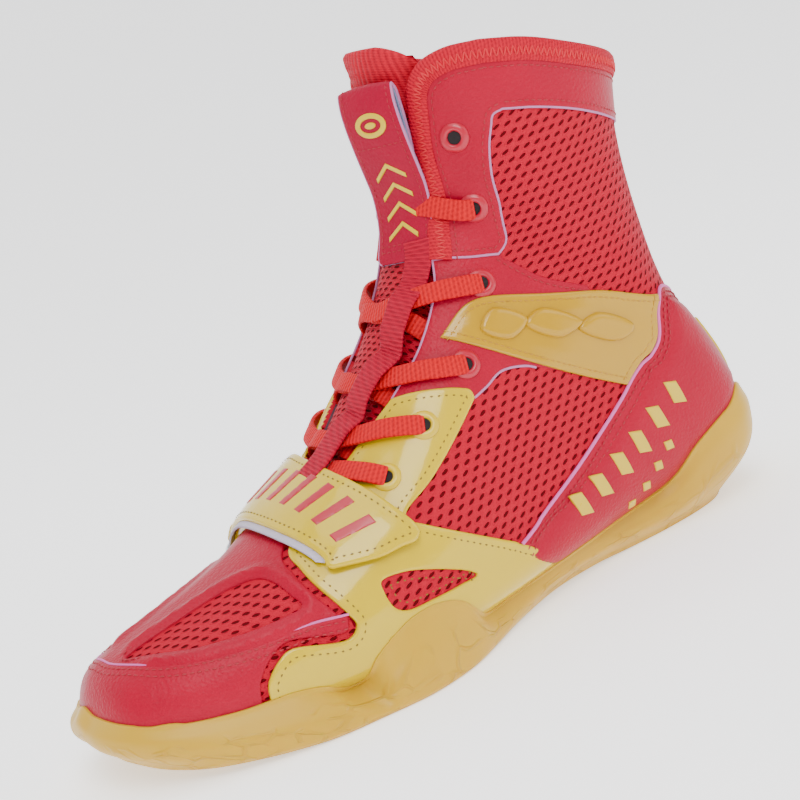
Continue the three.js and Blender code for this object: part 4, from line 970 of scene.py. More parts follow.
def gum(name):
    """Gum rubber with a net of raised veins on the lower side."""
    s = Shader(name, (0.5, 0.28, 0.0), 0.36, Subsurface_Weight=0.15, Subsurface_Scale=0.004,
               Specular_IOR_Level=0.25)
    u, v = s.uv()
    at = s.place()
    bend = s.noise(s.vector(u, v), 0.06, 2.0)
    warped = s.vector(u + bend * 14.0, v * 1.25 + bend * 10.0)
    veins = 1.0 - s.cells(warped, 0.105, feature="DISTANCE_TO_EDGE").step(0.02, 0.11)
    low = 1.0 - v.step(15.0, 20.0)
    broken = s.noise(s.vector(u, v), 0.09, 1.0).step(0.42, 0.56)
    veins = veins * low * broken
    cloud = s.noise(at, 0.03, 3.0)
    base = s.blend(cloud, (0.56, 0.33, 0.010), (0.48, 0.28, 0.020))
    s.set("Base Color", s.blend(veins * 0.25, base, (0.38, 0.20, 0.0)))
    s.set("Roughness", 0.32 + cloud * 0.16)
    s.relief(veins + s.noise(at, 0.9, 3.0) * 0.1, 0.35)
    return s.material


def cloth(name, color):
    """A felted lining."""
    s = Shader(name, color, 0.85, Specular_IOR_Level=0.2)
    at = s.place()
    fuzz = s.noise(at, 1.6, 4.0)
    s.set("Base Color", s.blend(fuzz, toned(color, 0.75), toned(color, 1.15)))
    s.relief(fuzz, 0.25)
    return s.material


def plain(name, color, roughness, **constants):
    """One colour, with a slightly uneven gloss."""
    s = Shader(name, color, roughness, **constants)
    s.set("Roughness", roughness - 0.05 + s.noise(s.place(), 0.5, 2.0) * 0.1)
    return s.material


LACE = ribbed("lace_red", (0.56, 0.0, 0.006), rib=1.5, across=1.8)
WEBBING = ribbed("webbing_red", (0.42, 0.0, 0.024), rib=1.4, across=5.0, depth=0.4)
BINDING = ribbed("binding_red", (0.48, 0.0, 0.018), rib=1.2, across=1.4)
GUM = gum("gum_rubber")
LINING = cloth("lining_grey", (0.22, 0.26, 0.42))
INNER = cloth("lining_dark", (0.10, 0.05, 0.07))
STRAP_LINING = cloth("strap_lining", (0.50, 0.45, 0.55))
PIPING = plain("piping_pale", (0.62, 0.12, 0.36), 0.5, Specular_IOR_Level=0.2)
PALE_EDGE = plain("pale_edge", (0.44, 0.17, 0.32), 0.55, Specular_IOR_Level=0.2)
THREAD_RED = plain("thread_red", (0.30, 0.0, 0.012), 0.6)
THREAD_BRIGHT = plain("thread_bright", (0.55, 0.0, 0.010), 0.55)
THREAD_DARK = plain("thread_olive", (0.16, 0.09, 0.0), 0.7)
THREAD_GOLD = plain("thread_gold", (0.42, 0.20, 0.0), 0.6)
STEEL = plain("steel", (0.55, 0.57, 0.60), 0.25, Metallic=1.0)
ENAMEL_RED = plain("enamel_red", (0.40, 0.0, 0.020), 0.3)
ENAMEL_YELLOW = plain("enamel_yellow", (0.60, 0.41, 0.0), 0.3)
# Painted shade for the holes inside the eyelets.
DARK = plain("eyelet_shadow", (0.008, 0.004, 0.005), 0.9)
print(len(bpy.data.materials), "materials")

# %% [markdown]
# ## Stitches
# A seam is one thread that dips into the leather every few millimetres. Each stitch that shows is
# the same small rounded bar, so one tree of geometry nodes sets it on the points of a mesh. Each
# point carries two directions: along the seam, and away from the leather.

# %% Stitch tree


def stitch_tree():
    tree = bpy.data.node_groups.new("stitches", "GeometryNodeTree")
    face = tree.interface
    face.new_socket("Geometry", in_out="INPUT", socket_type="NodeSocketGeometry")
    for label, value in (("Length", 1.8), ("Width", 0.5), ("Height", 0.35)):
        item = face.new_socket(label, in_out="INPUT", socket_type="NodeSocketFloat")
        item.default_value = value
    face.new_socket("Thread", in_out="INPUT", socket_type="NodeSocketMaterial")
    face.new_socket("Geometry", in_out="OUTPUT", socket_type="NodeSocketGeometry")

    def node(kind, values=None, **settings):
        n = tree.nodes.new(kind)
        for key, value in settings.items():
            setattr(n, key, value)
        for key, value in (values or {}).items():
            if isinstance(value, bpy.types.NodeSocket):
                tree.links.new(value, n.inputs[key])
            else:
                n.inputs[key].default_value = value
        return n

    inputs = node("NodeGroupInput")
    size = node("ShaderNodeCombineXYZ", {0: inputs.outputs["Length"], 1: inputs.outputs["Width"],
                                         2: inputs.outputs["Height"]})
    half = node("ShaderNodeVectorMath", {0: size.outputs[0], 3: 0.5 * MM}, operation="SCALE")
    ball = node("GeometryNodeMeshIcoSphere", {"Radius": 1.0, "Subdivisions": 2})
    thread = node("GeometryNodeTransform", {"Geometry": ball.outputs[0], "Scale": half.outputs[0]})
    seam = node("GeometryNodeInputNamedAttribute", {"Name": "seam"}, data_type="FLOAT_VECTOR")
    lift = node("GeometryNodeInputNamedAttribute", {"Name": "lift"}, data_type="FLOAT_VECTOR")
    turned = node("FunctionNodeAlignRotationToVector", {"Vector": seam.outputs[0]}, axis="X")
    raised = node("FunctionNodeAlignRotationToVector",
                  {"Rotation": turned.outputs[0], "Vector": lift.outputs[0]}, axis="Z",
                  pivot_axis="X")
    copies = node("GeometryNodeInstanceOnPoints", {
        "Points": inputs.outputs["Geometry"], "Instance": thread.outputs[0],
        "Rotation": raised.outputs[0]})
    real = node("GeometryNodeRealizeInstances", {0: copies.outputs[0]})
    shade = node("GeometryNodeSetShadeSmooth", {0: real.outputs[0]})
    painted = node("GeometryNodeSetMaterial", {"Geometry": shade.outputs[0],
                                               "Material": inputs.outputs["Thread"]})
    node("NodeGroupOutput", {0: painted.outputs[0]})
    return tree


STITCHES = stitch_tree()
print(len(STITCHES.nodes), "nodes in the stitch tree")

# %% [markdown]
# The points are set along each line at the pitch of the stitches. The evaluated result is kept as
# a plain mesh and the modifier is taken off, because instances would not be exported.

# %% Seams and tubes
HALF_STITCH = 0.4


def seams(name, lines, thread, slot, pitch=2.6, length=1.9, width=0.5, height=0.4):
    """Stitches along lines of (points, outs), baked into one mesh."""
    points, runs, outs = [], [], []
    for path, out in lines:
        arc = run_length(path)
        at = np.arange(pitch / 2, arc[-1], pitch)
        ahead, behind = picked(path, arc, at + HALF_STITCH), picked(path, arc, at - HALF_STITCH)
        points.append(picked(path, arc, at))
        runs.append(unit(ahead - behind))
        outs.append(unit(picked(out, arc, at)))
    points, runs, outs = np.vstack(points), np.vstack(runs), np.vstack(outs)
    mesh = bpy.data.meshes.new(name)
    mesh.from_pydata((points * MM).tolist(), [], [])
    for key, data in (("seam", runs), ("lift", outs)):
        attribute = mesh.attributes.new(key, "FLOAT_VECTOR", "POINT")
        attribute.data.foreach_set("vector", data.astype(np.float32).ravel())
    obj = bpy.data.objects.new(name, mesh)
    bpy.context.scene.collection.objects.link(obj)
    modifier = obj.modifiers.new("stitches", "NODES")
    modifier.node_group = STITCHES
    named = {i.name: i.identifier for i in STITCHES.interface.items_tree if i.in_out == "INPUT"}
    for key, value in (("Length", length), ("Width", width), ("Height", height),
                       ("Thread", thread)):
        modifier[named[key]] = value
    obj.update_tag()
    graph = bpy.context.evaluated_depsgraph_get()
    baked = bpy.data.meshes.new_from_object(obj.evaluated_get(graph))
    obj.modifiers.clear()
    obj.data = baked
    return adopt(obj, None, slot)


def on_form(line, off):
    """A line on the form as (points, outs) for a sweep or a seam."""
    t, v = line[:, 0], line[:, 1]
    return put(t, v, off), out_at(t, v)


def tubes(name, material, slot, lines, width, height):
    """Thin cords along lines of (points, outs), as one piece."""
    parts = [sweep(path, out, oval(width, height, 10)) for path, out in lines]
    return adopt(mesh_object(name, *merged(parts), sharp=60), material, slot)


print("a stitch's direction is read", HALF_STITCH, "mm before and behind it")

# %% [markdown]
# ## Upper and lining
# The sock is cut from flat mesh: a toe piece, two sides and a shaft. As one closed shell it has no
# gaps between them, and the overlays hide where its weave changes direction. Its grid runs from
# the toe to the collar and stops at both edges of the throat.

# %% Upper chart
ROWS, COLUMNS = 200, 210
COLLAR_STATION = 16.7
SIDE_WEAVE, SHAFT_WEAVE = 5.8, 11.25


def upper_chart():
    u = np.linspace(0, 1, ROWS)[:, None]
    f = np.linspace(0, 1, COLUMNS)[None]
    t = np.tile(u * COLLAR_STATION, (1, COLUMNS))
    for _ in range(4):
        edge = throat_share(t)
        v = edge + (2 - 2 * edge) * f
        t = u * collar_station(v) + 0 * v
    return t, v


t_grid, v_grid = upper_chart()
position = put(t_grid, v_grid)
lateral_v = np.where(v_grid > 1, 2 - v_grid, v_grid)
level = np.stack([lateral_v * half_girth(t_grid), position[..., 2]], -1)
flank = np.stack([-position[..., 0], position[..., 2]], -1)
toe = np.stack([np.interp(t_grid, T_GRID, ALONG_LENGTH), lateral_v * half_girth(t_grid)], -1)
weave = np.where((t_grid > SIDE_WEAVE)[..., None], flank, toe)
weave = np.where((t_grid > SHAFT_WEAVE)[..., None], level, weave)
print("upper grid", t_grid.shape)

# %% [markdown]
# The mesh swells a little behind the toe, where the fabric is padded. The lining is a second shell
# just inside it, which shows at the collar.

# %% Upper


def upper_skin(name, outer, inner, material, slot):
    """A shell between two offsets, closed at the toe by a fan of faces."""
    high, low = put(t_grid, v_grid, outer), put(t_grid, v_grid, inner)
    count = ROWS * COLUMNS
    faces = grid_faces(ROWS, COLUMNS)
    faces += [[i + count for i in f[::-1]] for f in faces]
    top = (ROWS - 1) * COLUMNS
    faces += [[top + j, top + j + 1, top + j + 1 + count, top + j + count]
              for j in range(COLUMNS - 1)]
    open_rows = [i for i in range(ROWS - 1) if t_grid[i + 1, 0] > THROAT_START]
    for column in (0, COLUMNS - 1):
        faces += [[i * COLUMNS + column, (i + 1) * COLUMNS + column,
                   (i + 1) * COLUMNS + column + count, i * COLUMNS + column + count]
                  for i in open_rows]
    points = np.vstack([high.reshape(-1, 3), low.reshape(-1, 3),
                        high[0].mean(0)[None], low[0].mean(0)[None]])
    for layer in (0, 1):
        hub = 2 * count + layer
        faces += [[layer * count + j, layer * count + j + 1, hub] for j in range(COLUMNS - 1)]
    flat = weave.reshape(-1, 2)
    obj = mesh_object(name, points, faces, np.vstack([flat, flat, flat[:1], flat[:1]]), sharp=70)
    return adopt(obj, material, slot, "upper")


puff = 0.5 * stepped(t_grid, 5.9, 6.4) + 0.25
upper_skin("upper_mesh", puff, -0.9, FABRIC, "mesh")
upper_skin("upper_lining", -0.95, -WALL - 0.4, INNER, "lining")
print("upper", made[-2:])

# %% [markdown]
# ## Toe
# Leather keeps the toe's shape, with a window of mesh on each side of the vamp to let the foot
# breathe. The rim round the windows is padded: its height is a bell curve of the distance to the
# window's edge. Neighbouring panels run a little under each other, as they are sewn.

# %% Toe
toe_window = smooth(TOE_WINDOW, closed=True)
patent_window = smooth(PATENT_WINDOW, closed=True)
window_loops = [put(w[:, 0], w[:, 1]) for w in (toe_window, mirrored(toe_window))]


def toe_ridge(line, far):
    """The padded arch round the toe windows."""
    real = put(line[:, 0], line[:, 1])
    near = distances(real, window_loops)
    return 1.5 * np.exp(-((near - 3.2) / 1.9) ** 2) * stepped(line[:, 0], 2.6, 3.1)


vamp_side = np.vstack([smooth([[6.75, 0], [6.70, 0.10], [6.30, 0.19]]),
                       shifted(smooth(PATENT_FRONT), 2.5)[8:-1]])
guard_low = shifted(smooth(GUARD_LINE), 2.0)
vamp_side = np.vstack([vamp_side, guard_low[::-1]])
vamp_outline = joined(vamp_side, mirrored(vamp_side)[::-1])
panel("vamp_frame", LEATHER, "leather", ["vamp_frame"],
      [(vamp_outline, [toe_window, mirrored(toe_window)])], base=0.15, height=1.0, relief=toe_ridge,
      pitch=1.8)

low_rim = shifted(rim, 4.0)
nose_under = shifted(smooth(PATENT_NOSE), 2.5)
guard_side = np.vstack([smooth(GUARD_LINE), nose_under[3:],
                        part_of(low_rim, [0.15, 0.02], [4.35, 0.60])[::-1]])
guard_outline = joined(guard_side, mirrored(guard_side)[::-1])
panel("toe_guard", LEATHER, "leather", ["toe_guard"], [(guard_outline, [])], base=0.35, height=1.1)
print("vamp and guard", made[-2:])

# %% [markdown]
# ## Patent overlays
# The forefoot is wrapped in patent leather from the lacing to the sole, on both sides, with a
# small window of mesh where the foot bends.

# %% Patent overlays
patent_edge = [smooth(THROAT_PATENT), smooth(PATENT_TOP), smooth(PATENT_BACK),
               smooth(PATENT_HEM)[:-1]]
rim_span = part_of(low_rim, [4.35, 0.60], [8.90, 0.82])
patent_outline = joined(*patent_edge, rim_span[::-1], smooth(PATENT_NOSE)[::-1][1:],
                        smooth(PATENT_FRONT)[::-1])
for side, word in ((1, "lateral"), (-1, "medial")):
    panel(f"forefoot_overlay_{word}", PATENT, "patent", [f"forefoot_overlay_{word}"],
          [(sided(patent_outline, side), [sided(patent_window, side)])], base=0.7, height=1.15)

print("patent", made[-2:])

# %% [markdown]
# ## Eyestays and collar
# The eyestay carries the middle eyelets. The collar panel is one piece of leather round the leg,
# and its edge leaves a tall window of mesh on each side.

# %% Eyestays and collar
eyestay_outline = joined(smooth(THROAT_MIDDLE), smooth([[10.66, 0.115], [11.4, 0.10]]),
                         smooth([[11.4, 0.10], [11.9, 0.20]]), smooth(WINDOW_SILL)[3:],
                         smooth([[12.24, 0.404], [11.9, 0.46], [10.9, 0.50], [10.20, 0.40]]),
                         smooth(LOW_WINDOW)[1:], smooth([[8.7, 0.30], [8.15, 0.20]]))
panel_edge = [smooth(WINDOW_TOP)[::-1], smooth(WINDOW_FRONT)[::-1][1:]]
collar_side = np.vstack([*panel_edge, smooth(EYESTAY_HEM)[::-1][1:],
                         smooth(THROAT_SHAFT)[1:], smooth(COLLAR)[1:]])
collar_outline = joined(collar_side, past_base(collar_side)[::-1])
for side, word in ((1, "lateral"), (-1, "medial")):
    panel(f"eyestay_{word}", LEATHER, "leather", [f"eyestay_{word}"],
          [(sided(eyestay_outline, side), [])], base=0.15, height=1.0)
panel("collar_panel", LEATHER, "leather", ["collar_panel"], [(collar_outline, [])], base=0.5,
      height=1.1)

print("eyestays and collar", made[-3:])

# %% [markdown]
# ## Heel counter
# The counter is the stiff cup that holds the heel. It is cut in one piece round the back. A small
# patent patch is sewn over it above the sole.

# %% Heel counter
counter_low = part_of(low_rim, [8.60, 0.80], [12.85, 1.0])
counter_side = np.vstack([smooth([[8.60, 0.80], [8.1, 0.66], [8.20, 0.622], [8.29, 0.62]]),
                          smooth(COUNTER_EDGE)[1:]])
counter_outline = joined(counter_side, past_base(counter_side)[::-1], past_base(counter_low),
                         counter_low[::-1])


def counter_relief(line, far):
    """The strip behind the front edge is sewn down, and the panel swells behind it."""
    return 0.9 * stepped(far, 4.5, 9.0) - 0.35 * np.exp(-((far - 3.6) / 0.9) ** 2)


panel("heel_counter", LEATHER, "leather", ["heel_counter"], [(counter_outline, [])], base=0.4,
      height=1.2, relief=counter_relief)
heel_patch = smooth([[12.75, 1.0], [12.95, 0.87], [13.42, 0.82], [13.55, 1.0], [13.42, 1.18],
                     [12.95, 1.13]], closed=True)
panel("heel_patch", PATENT, "patent", [], [(heel_patch, [])], base=2.3, height=0.9, edge=0.6)
print("heel", made[-2:])

# %% [markdown]
# ## Side band
# A glossy moulded band braces the ankle, from the lacing to the counter. A row of raised lozenges
# stands on it: slabs whose rounded edge is as wide as they are high, so that they look pressed.

# %% Side band
band_outline = joined(smooth(BAND_TOP), smooth(BAND_END), smooth(BAND_LOW))
LOZENGES = [(10.35, 0.292, 0.10), (11.00, 0.372, 0.13), (11.62, 0.462, 0.13)]


def lozenge(t, v, reach):
    """A long lozenge round a chart point, along the band."""
    return [[t - 0.36, v - reach * 0.34], [t + 0.13, v - 0.035], [t + 0.42, v + reach * 0.34],
            [t - 0.10, v + 0.030]]


def band_relief(line, far):
    return 0.25 * stepped(far, 2.6, 4.5)


for side, word in ((1, "lateral"), (-1, "medial")):
    panel(f"side_band_{word}", BAND, "band", [f"side_band_{word}"],
          [(sided(band_outline, side), [])], base=1.0, height=1.0, relief=band_relief)
    shapes = [(sided(smooth(lozenge(*z), 0.8, closed=True), side), []) for z in LOZENGES]
    panel(f"lozenges_{word}", BAND, "band", [], shapes, base=2.1, height=1.9, edge=1.6, pitch=1.2,
          blunt=0.1)
print("band", made[-4:])

# %% [markdown]
# ## Sole
# A cup sole is moulded in one piece. So this is one closed grid: each row goes up the outer wall,
# over its lip, across the cup that the upper sits in, down the inner wall and back under the
# tread. The table gives the tread's outline, how far it rises, and how far the wall bulges.

# %% Sole
TREAD_COLUMNS = ["x", "lateral", "medial", "up", "bulge", "neck"]
TREAD = [
    [0.965, -0.050, 0.050, 1.00, 5.0, 3.8], [0.964, 0.020, 0.120, 0.98, 5.0, 3.8],
    [0.958, 0.100, 0.190, 0.92, 5.4, 4.0], [0.938, 0.230, 0.280, 0.72, 4.4, 3.2],
    [0.900, 0.350, 0.360, 0.48, 3.2, 2.2], [0.842, 0.440, 0.410, 0.24, 2.2, 1.1],
    [0.788, 0.495, 0.435, 0.07, 1.8, 0.9], [0.757, 0.515, 0.442, 0.02, 1.6, 0.8],
    [0.729, 0.525, 0.446, 0.00, 1.6, 0.8], [0.704, 0.535, 0.448, 0.00, 1.6, 0.8],
    [0.680, 0.545, 0.448, 0.00, 1.6, 0.8], [0.648, 0.550, 0.444, 0.00, 1.4, 0.7],
    [0.606, 0.530, 0.428, 0.00, 1.2, 0.6], [0.570, 0.495, 0.400, 0.02, 1.0, 0.5],
    [0.532, 0.440, 0.360, 0.08, 1.0, 0.5], [0.482, 0.370, 0.305, 0.18, 1.2, 0.6],
    [0.412, 0.290, 0.255, 0.25, 2.0, 1.0], [0.338, 0.240, 0.225, 0.18, 3.0, 1.5],
    [0.278, 0.220, 0.215, 0.05, 4.0, 2.0], [0.215, 0.212, 0.212, 0.00, 5.5, 3.2],
    [0.160, 0.195, 0.195, 0.00, 6.5, 4.0], [0.120, 0.160, 0.160, 0.00, 8.0, 5.0],
    [0.095, 0.100, 0.100, 0.05, 10.0, 6.0], [0.085, 0.000, 0.000, 0.12, 11.0, 6.5],
]
SPANS = 7
SOLE_BACK = -5.0
BEVEL = 2.2
LIP_OFF = 2.75
CUP_OFF = 0.8
WALL_ROWS, CUP_ROWS, TREAD_ROWS = 29, 40, 12
WALL_HEIGHT, SIDE_LENGTH = 26.0, 500.0


def sole():
    """The grid of the sole. Its UV map goes round the foot and up the wall."""
    steps = (len(TREAD) - 1) * SPANS
    share = np.arange(steps + 1) / SPANS
    rows = rows_at(TREAD, share)
    tread = {name: rows[:, k] for k, name in enumerate(TREAD_COLUMNS)}
    rim_rows = rows_at(SOLE_RIM, share)
    walls = {}
    for side in (1, -1):
        half = side * (tread["lateral"] if side > 0 else tread["medial"]) * SOLE_WIDTH
        foot = np.stack([SOLE_BACK - HEEL_FLAT + tread["x"] * SOLE_LENGTH, half,
                         np.maximum(tread["up"], 0) * TOE_SPRING], -1)
        run = np.gradient(foot, axis=0) * [1, 1, 0]
        out = unit(np.cross(run, [0, 0, 1]) * side)
        out[0], out[-1] = [1, 0, 0], [-1, 0, 0]
        t, v = rim_rows[:, 0], side * rim_rows[:, 1]
        lip = put(t, v, LIP_OFF)
        edge = foot + out * BEVEL * 0.8 + [0, 0, BEVEL]
        bulge = tread["bulge"][:, None]
        belly = edge + (lip - edge) * 0.38 + out * bulge * 0.85
        neck = edge + (lip - edge) * 0.74 + out * tread["neck"][:, None]
        corners = np.stack([foot, edge, belly, neck, lip], 1)
        walls[side] = rows_at(np.moveaxis(corners, 1, 0).reshape(5, -1),
                              np.linspace(0, 4, WALL_ROWS)).reshape(WALL_ROWS, steps + 1, 3)
        over = np.stack(step(t, v, unit(np.cross(out_at(t, v), np.gradient(put(t, v), axis=0)))
                             * side * 0.9), -1)
        roll = [put(over[:, 0], over[:, 1], 2.3), put(over[:, 0], over[:, 1], 1.3),
                put(t, v, CUP_OFF)]
        walls[side] = np.concatenate([walls[side], np.stack(roll)])
    f = np.linspace(0, 1, CUP_ROWS + 2)[1:-1, None]
    v = rim_rows[:, 1]
    cup = put(np.tile(rim_rows[:, 0], (CUP_ROWS, 1)), v + (2 - 2 * v) * f, CUP_OFF)
    cup[:, 0] = walls[1][-1][0]
    f = np.linspace(0, 1, TREAD_ROWS + 2)[1:-1, None, None]
    bottom = walls[-1][0] * (1 - f) + walls[1][0] * f
    ring = np.concatenate([walls[1], cup, walls[-1][::-1], bottom])
    ring = np.moveaxis(ring, 0, 1)
    arc_u = run_length(walls[1][1])
    rise = np.hstack([0, np.cumsum(np.linalg.norm(np.diff(walls[1], axis=0), axis=2).mean(1))])
    rise = rise / rise[WALL_ROWS - 1] * WALL_HEIGHT
    across = np.hstack([rise, np.full(CUP_ROWS, WALL_HEIGHT + 4), rise[::-1],
                        np.zeros(TREAD_ROWS)])
    uv = np.stack(np.broadcast_arrays(arc_u[:, None], across[None]), -1)
    columns = ring.shape[1]
    uv[:, columns // 2:, 0] += SIDE_LENGTH
    faces = grid_faces(steps + 1, columns, closed_columns=True)
    return ring.reshape(-1, 3), faces, uv.reshape(-1, 2)


adopt(mesh_object("outsole", *sole(), sharp=50), GUM, "gum", "outsole")
print("sole", made[-1])

# %% [markdown]
# ## Insole
# A thin sheet on the base of the form. It is all that shows when one looks into the shoe.

# %% Insole
INSOLE_EDGE = np.array([[1.7, 0.07], [2.2, 0.19], [3.2, 0.24], [5, 0.26], [7, 0.22], [9, 0.15],
                        [10.6, 0.11], [11.4, 0.07]])
INSOLE_TOP, INSOLE_UNDER = -3.0, -6.0
t_row = np.linspace(INSOLE_EDGE[0, 0], INSOLE_EDGE[-1, 0], 60)
share = np.interp(t_row, INSOLE_EDGE[:, 0], INSOLE_EDGE[:, 1])[:, None]
v_row = 1 + share * np.linspace(-1, 1, 21)[None]
t_row = np.tile(t_row[:, None], (1, 21))
flat = np.stack([put(t_row, v_row)[..., 0], v_row * 100], -1)
sheet = shell(put(t_row, v_row, INSOLE_TOP), put(t_row, v_row, INSOLE_UNDER), flat)
adopt(mesh_object("insole", *sheet), INNER, "lining", "insole")
print("insole", made[-1])

# %% [markdown]
# ## Tongue
# The tongue is a padded strip under the lacing. It lies on the foot and swells out between the
# eyestays. Cloth simulation would swell it evenly. Here the swell must follow the throat's edges,
# so it is worked out from them, thick in the middle and thin where it runs under the leather. A
# cosine sews channels into its upper part.

# %% Tongue
TONGUE_EDGE = np.array([[6.15, 0.10], [6.5, 0.17], [7.2, 0.205], [9.0, 0.215], [10.6, 0.185],
                        [12.0, 0.155], [14.5, 0.165], [16.1, 0.175], [16.5, 0.165]])
TONGUE_START, TONGUE_END = TONGUE_EDGE[0, 0], TONGUE_EDGE[-1, 0]
TONGUE_TOP = -WALL - 1.1
TONGUE_THICK = 4.2


def tongue():
    t = np.linspace(TONGUE_START, TONGUE_END, 120)
    edge = np.interp(t, TONGUE_EDGE[:, 0], TONGUE_EDGE[:, 1])
    f = np.linspace(-1, 1, 41)
    v = edge[:, None] * f[None]
    t = np.tile(t[:, None], (1, 41))
    along = (t - TONGUE_START) / (TONGUE_END - TONGUE_START)
    thick = TONGUE_THICK * np.sqrt(np.clip(1 - f[None] ** 6, 0, 1)) * np.sqrt(
        np.clip(1 - along ** 60, 0, 1))
    quilt = 0.35 * np.cos(v * 60) * stepped(t, 12, 13)
    middle = TONGUE_TOP - 1.5 + tongue_swell(t, v)
    uv = np.stack([v * 115, np.interp(t, T_GRID, ALONG_LENGTH)], -1)
    return shell(put(t, v, middle + thick * 0.4 + quilt), put(t, v, middle - thick * 0.6), uv)


tongue_piece = adopt(mesh_object("tongue", *tongue(), sharp=70), TONGUE_FABRIC, "mesh", "tongue")
print("tongue", made[-1])

# %% [markdown]
# A hem of ribbed tape is folded over the tongue's top. Its rounded corners come from narrowing it
# there, and short waves across it make the ribs.

# %% Tongue hem
HEM_START, HEM_END = 14.9, 16.78


def tongue_hem():
    t = np.linspace(HEM_START, HEM_END, 40)
    edge = np.interp(t, TONGUE_EDGE[:, 0], TONGUE_EDGE[:, 1]) + 0.008
    edge = edge * np.sqrt(np.clip(1 - np.clip((t - 15.9) / 0.95, 0, 1) ** 3, 0.02, 1))
    f = np.linspace(-1, 1, 61)
    v = edge[:, None] * f[None]
    t = np.tile(t[:, None], (1, 61))
    across = np.sqrt(np.clip(1 - f[None] ** 8, 0, 1))
    along = np.sqrt(np.clip(1 - ((t - 15.4) / 1.39) ** 6, 0, 1)) * stepped(t, 14.85, 15.0)
    wave = 0.22 * np.cos(v * 330) * (0.6 + 0.4 * np.cos((t - 15) * 26))
    middle = TONGUE_TOP - 1.5 + tongue_swell(t, v)
    uv = np.stack([v * 75, np.interp(t, T_GRID, ALONG_LENGTH)], -1)
    return shell(put(t, v, middle + (2.2 + wave) * across * along),
                 put(t, v, middle - 3.0 * across * along), uv)


adopt(mesh_object("tongue_hem", *tongue_hem(), sharp=70), BINDING, "lace")
print("hem", made[-1])

# %% [markdown]
# ## Collar binding
# A tape is folded over the raw edges of the throat and the collar, and held by a zigzag seam. Its
# profile is swept by moving the edge line sideways on the form, one line for each profile point,
# so that the tape hugs the leather on tight bends.

# %% Binding
BINDING_PROFILE = np.array([[6.4, 1.2], [6.5, 2.0], [5.6, 2.45], [3.6, 2.6], [1.6, 2.7],
                            [0.0, 2.5], [-1.1, 1.7], [-1.5, 0.3], [-1.4, -1.2], [-0.8, -2.6],
                            [1.0, -3.2], [3.5, -3.3], [5.6, -3.1], [5.7, -2.2], [3.0, -1.0],
                            [3.0, 0.6]])
BINDING_START = 10.3
ZIGZAG = (1.6, 5.0)


def binding():
    """The line of the edge, and the folded tape along it."""
    line = spaced(edge_line, 1.2)
    line = line[line[:, 0] > BINDING_START]
    columns = []
    for distance, off in BINDING_PROFILE:
        moved = shifted(line, distance)
        columns.append(put(moved[:, 0], moved[:, 1], off))
    ring = np.stack(columns, 1)
    rows, sides = ring.shape[:2]
    arc = run_length(put(line[:, 0], line[:, 1]))
    uv = np.stack(np.broadcast_arrays(arc[:, None], BINDING_PROFILE[None, :, 0]), -1)
    faces = grid_faces(rows, sides, closed_columns=True)
    faces += [list(range(sides)), list(range(rows * sides - 1, (rows - 1) * sides - 1, -1))]
    return line, (ring.reshape(-1, 3), faces, uv.reshape(-1, 2))


binding_line, binding_mesh = binding()
adopt(mesh_object("collar_binding", *binding_mesh, sharp=60), BINDING, "lace", "collar_binding")

zigzag = spaced(binding_line, 1.15)
swing = np.where(np.arange(len(zigzag)) % 2 == 0, *ZIGZAG)
zigzag = shifted(zigzag, swing)
path, lift = on_form(zigzag, 2.72)
pairs = [(np.stack([a, b]), np.stack([o, o])) for a, b, o in zip(path, path[1:], lift)]
seams("binding_zigzag", pairs, THREAD_BRIGHT, "lace", pitch=3.5, length=3.4, width=0.55,
      height=0.4)
print("binding", made[-2:])

# %% [markdown]
# ## Eyelets
# An eyelet is a turned ring of enamelled metal, so its profile is spun round the outward
# direction. A dark disc inside it is painted shade: it stands for the shade in the hole through
# the leather.

# %% Eyelets
FLANGE = [[2.2, -1.0], [2.3, 0.4], [2.7, 0.95], [3.3, 1.1], [4.0, 0.95], [4.6, 0.55], [5.0, 0.1],
          [5.0, -0.6]]


def axes_at(t, v):
    """The outward direction at a place, and two across it."""
    out = out_at(t, v)
    first = unit(np.cross(out, [0, 0, 1.0]))
    return out, first, np.cross(out, first)


def eyelet(t, v, base):
    out, e1, e2 = axes_at(t, v)
    profile = curve_through(FLANGE, 4)
    sides = 36
    a = np.arange(sides) / sides * 2 * math.pi
    r, z = profile[:, 0][:, None], profile[:, 1][:, None]
    points = put(t, v, base) + (r * np.cos(a))[..., None] * e1 + (r * np.sin(a))[..., None] * e2
    points = points + z[..., None] * out
    count = len(profile)
    faces = grid_faces(count, sides, closed_columns=True)
    faces += [list(range(sides)), list(range((count - 1) * sides, count * sides))]
    uv = np.stack(np.broadcast_arrays(a[None] * 5, r), -1)
    return points.reshape(-1, 3), faces, uv.reshape(-1, 2)


def disc(t, v, off, radius, sides=24):
    out, e1, e2 = axes_at(t, v)
    a = np.arange(sides) / sides * 2 * math.pi
    ring = put(t, v, off) + radius * (np.cos(a)[:, None] * e1 + np.sin(a)[:, None] * e2)
    points = np.vstack([ring, ring - out * 0.4])
    faces = [list(range(sides)), list(range(2 * sides - 1, sides - 1, -1))]
    faces += [[k, (k + 1) % sides, (k + 1) % sides + sides, k + sides] for k in range(sides)]
    return points, faces, np.zeros((2 * sides, 2))


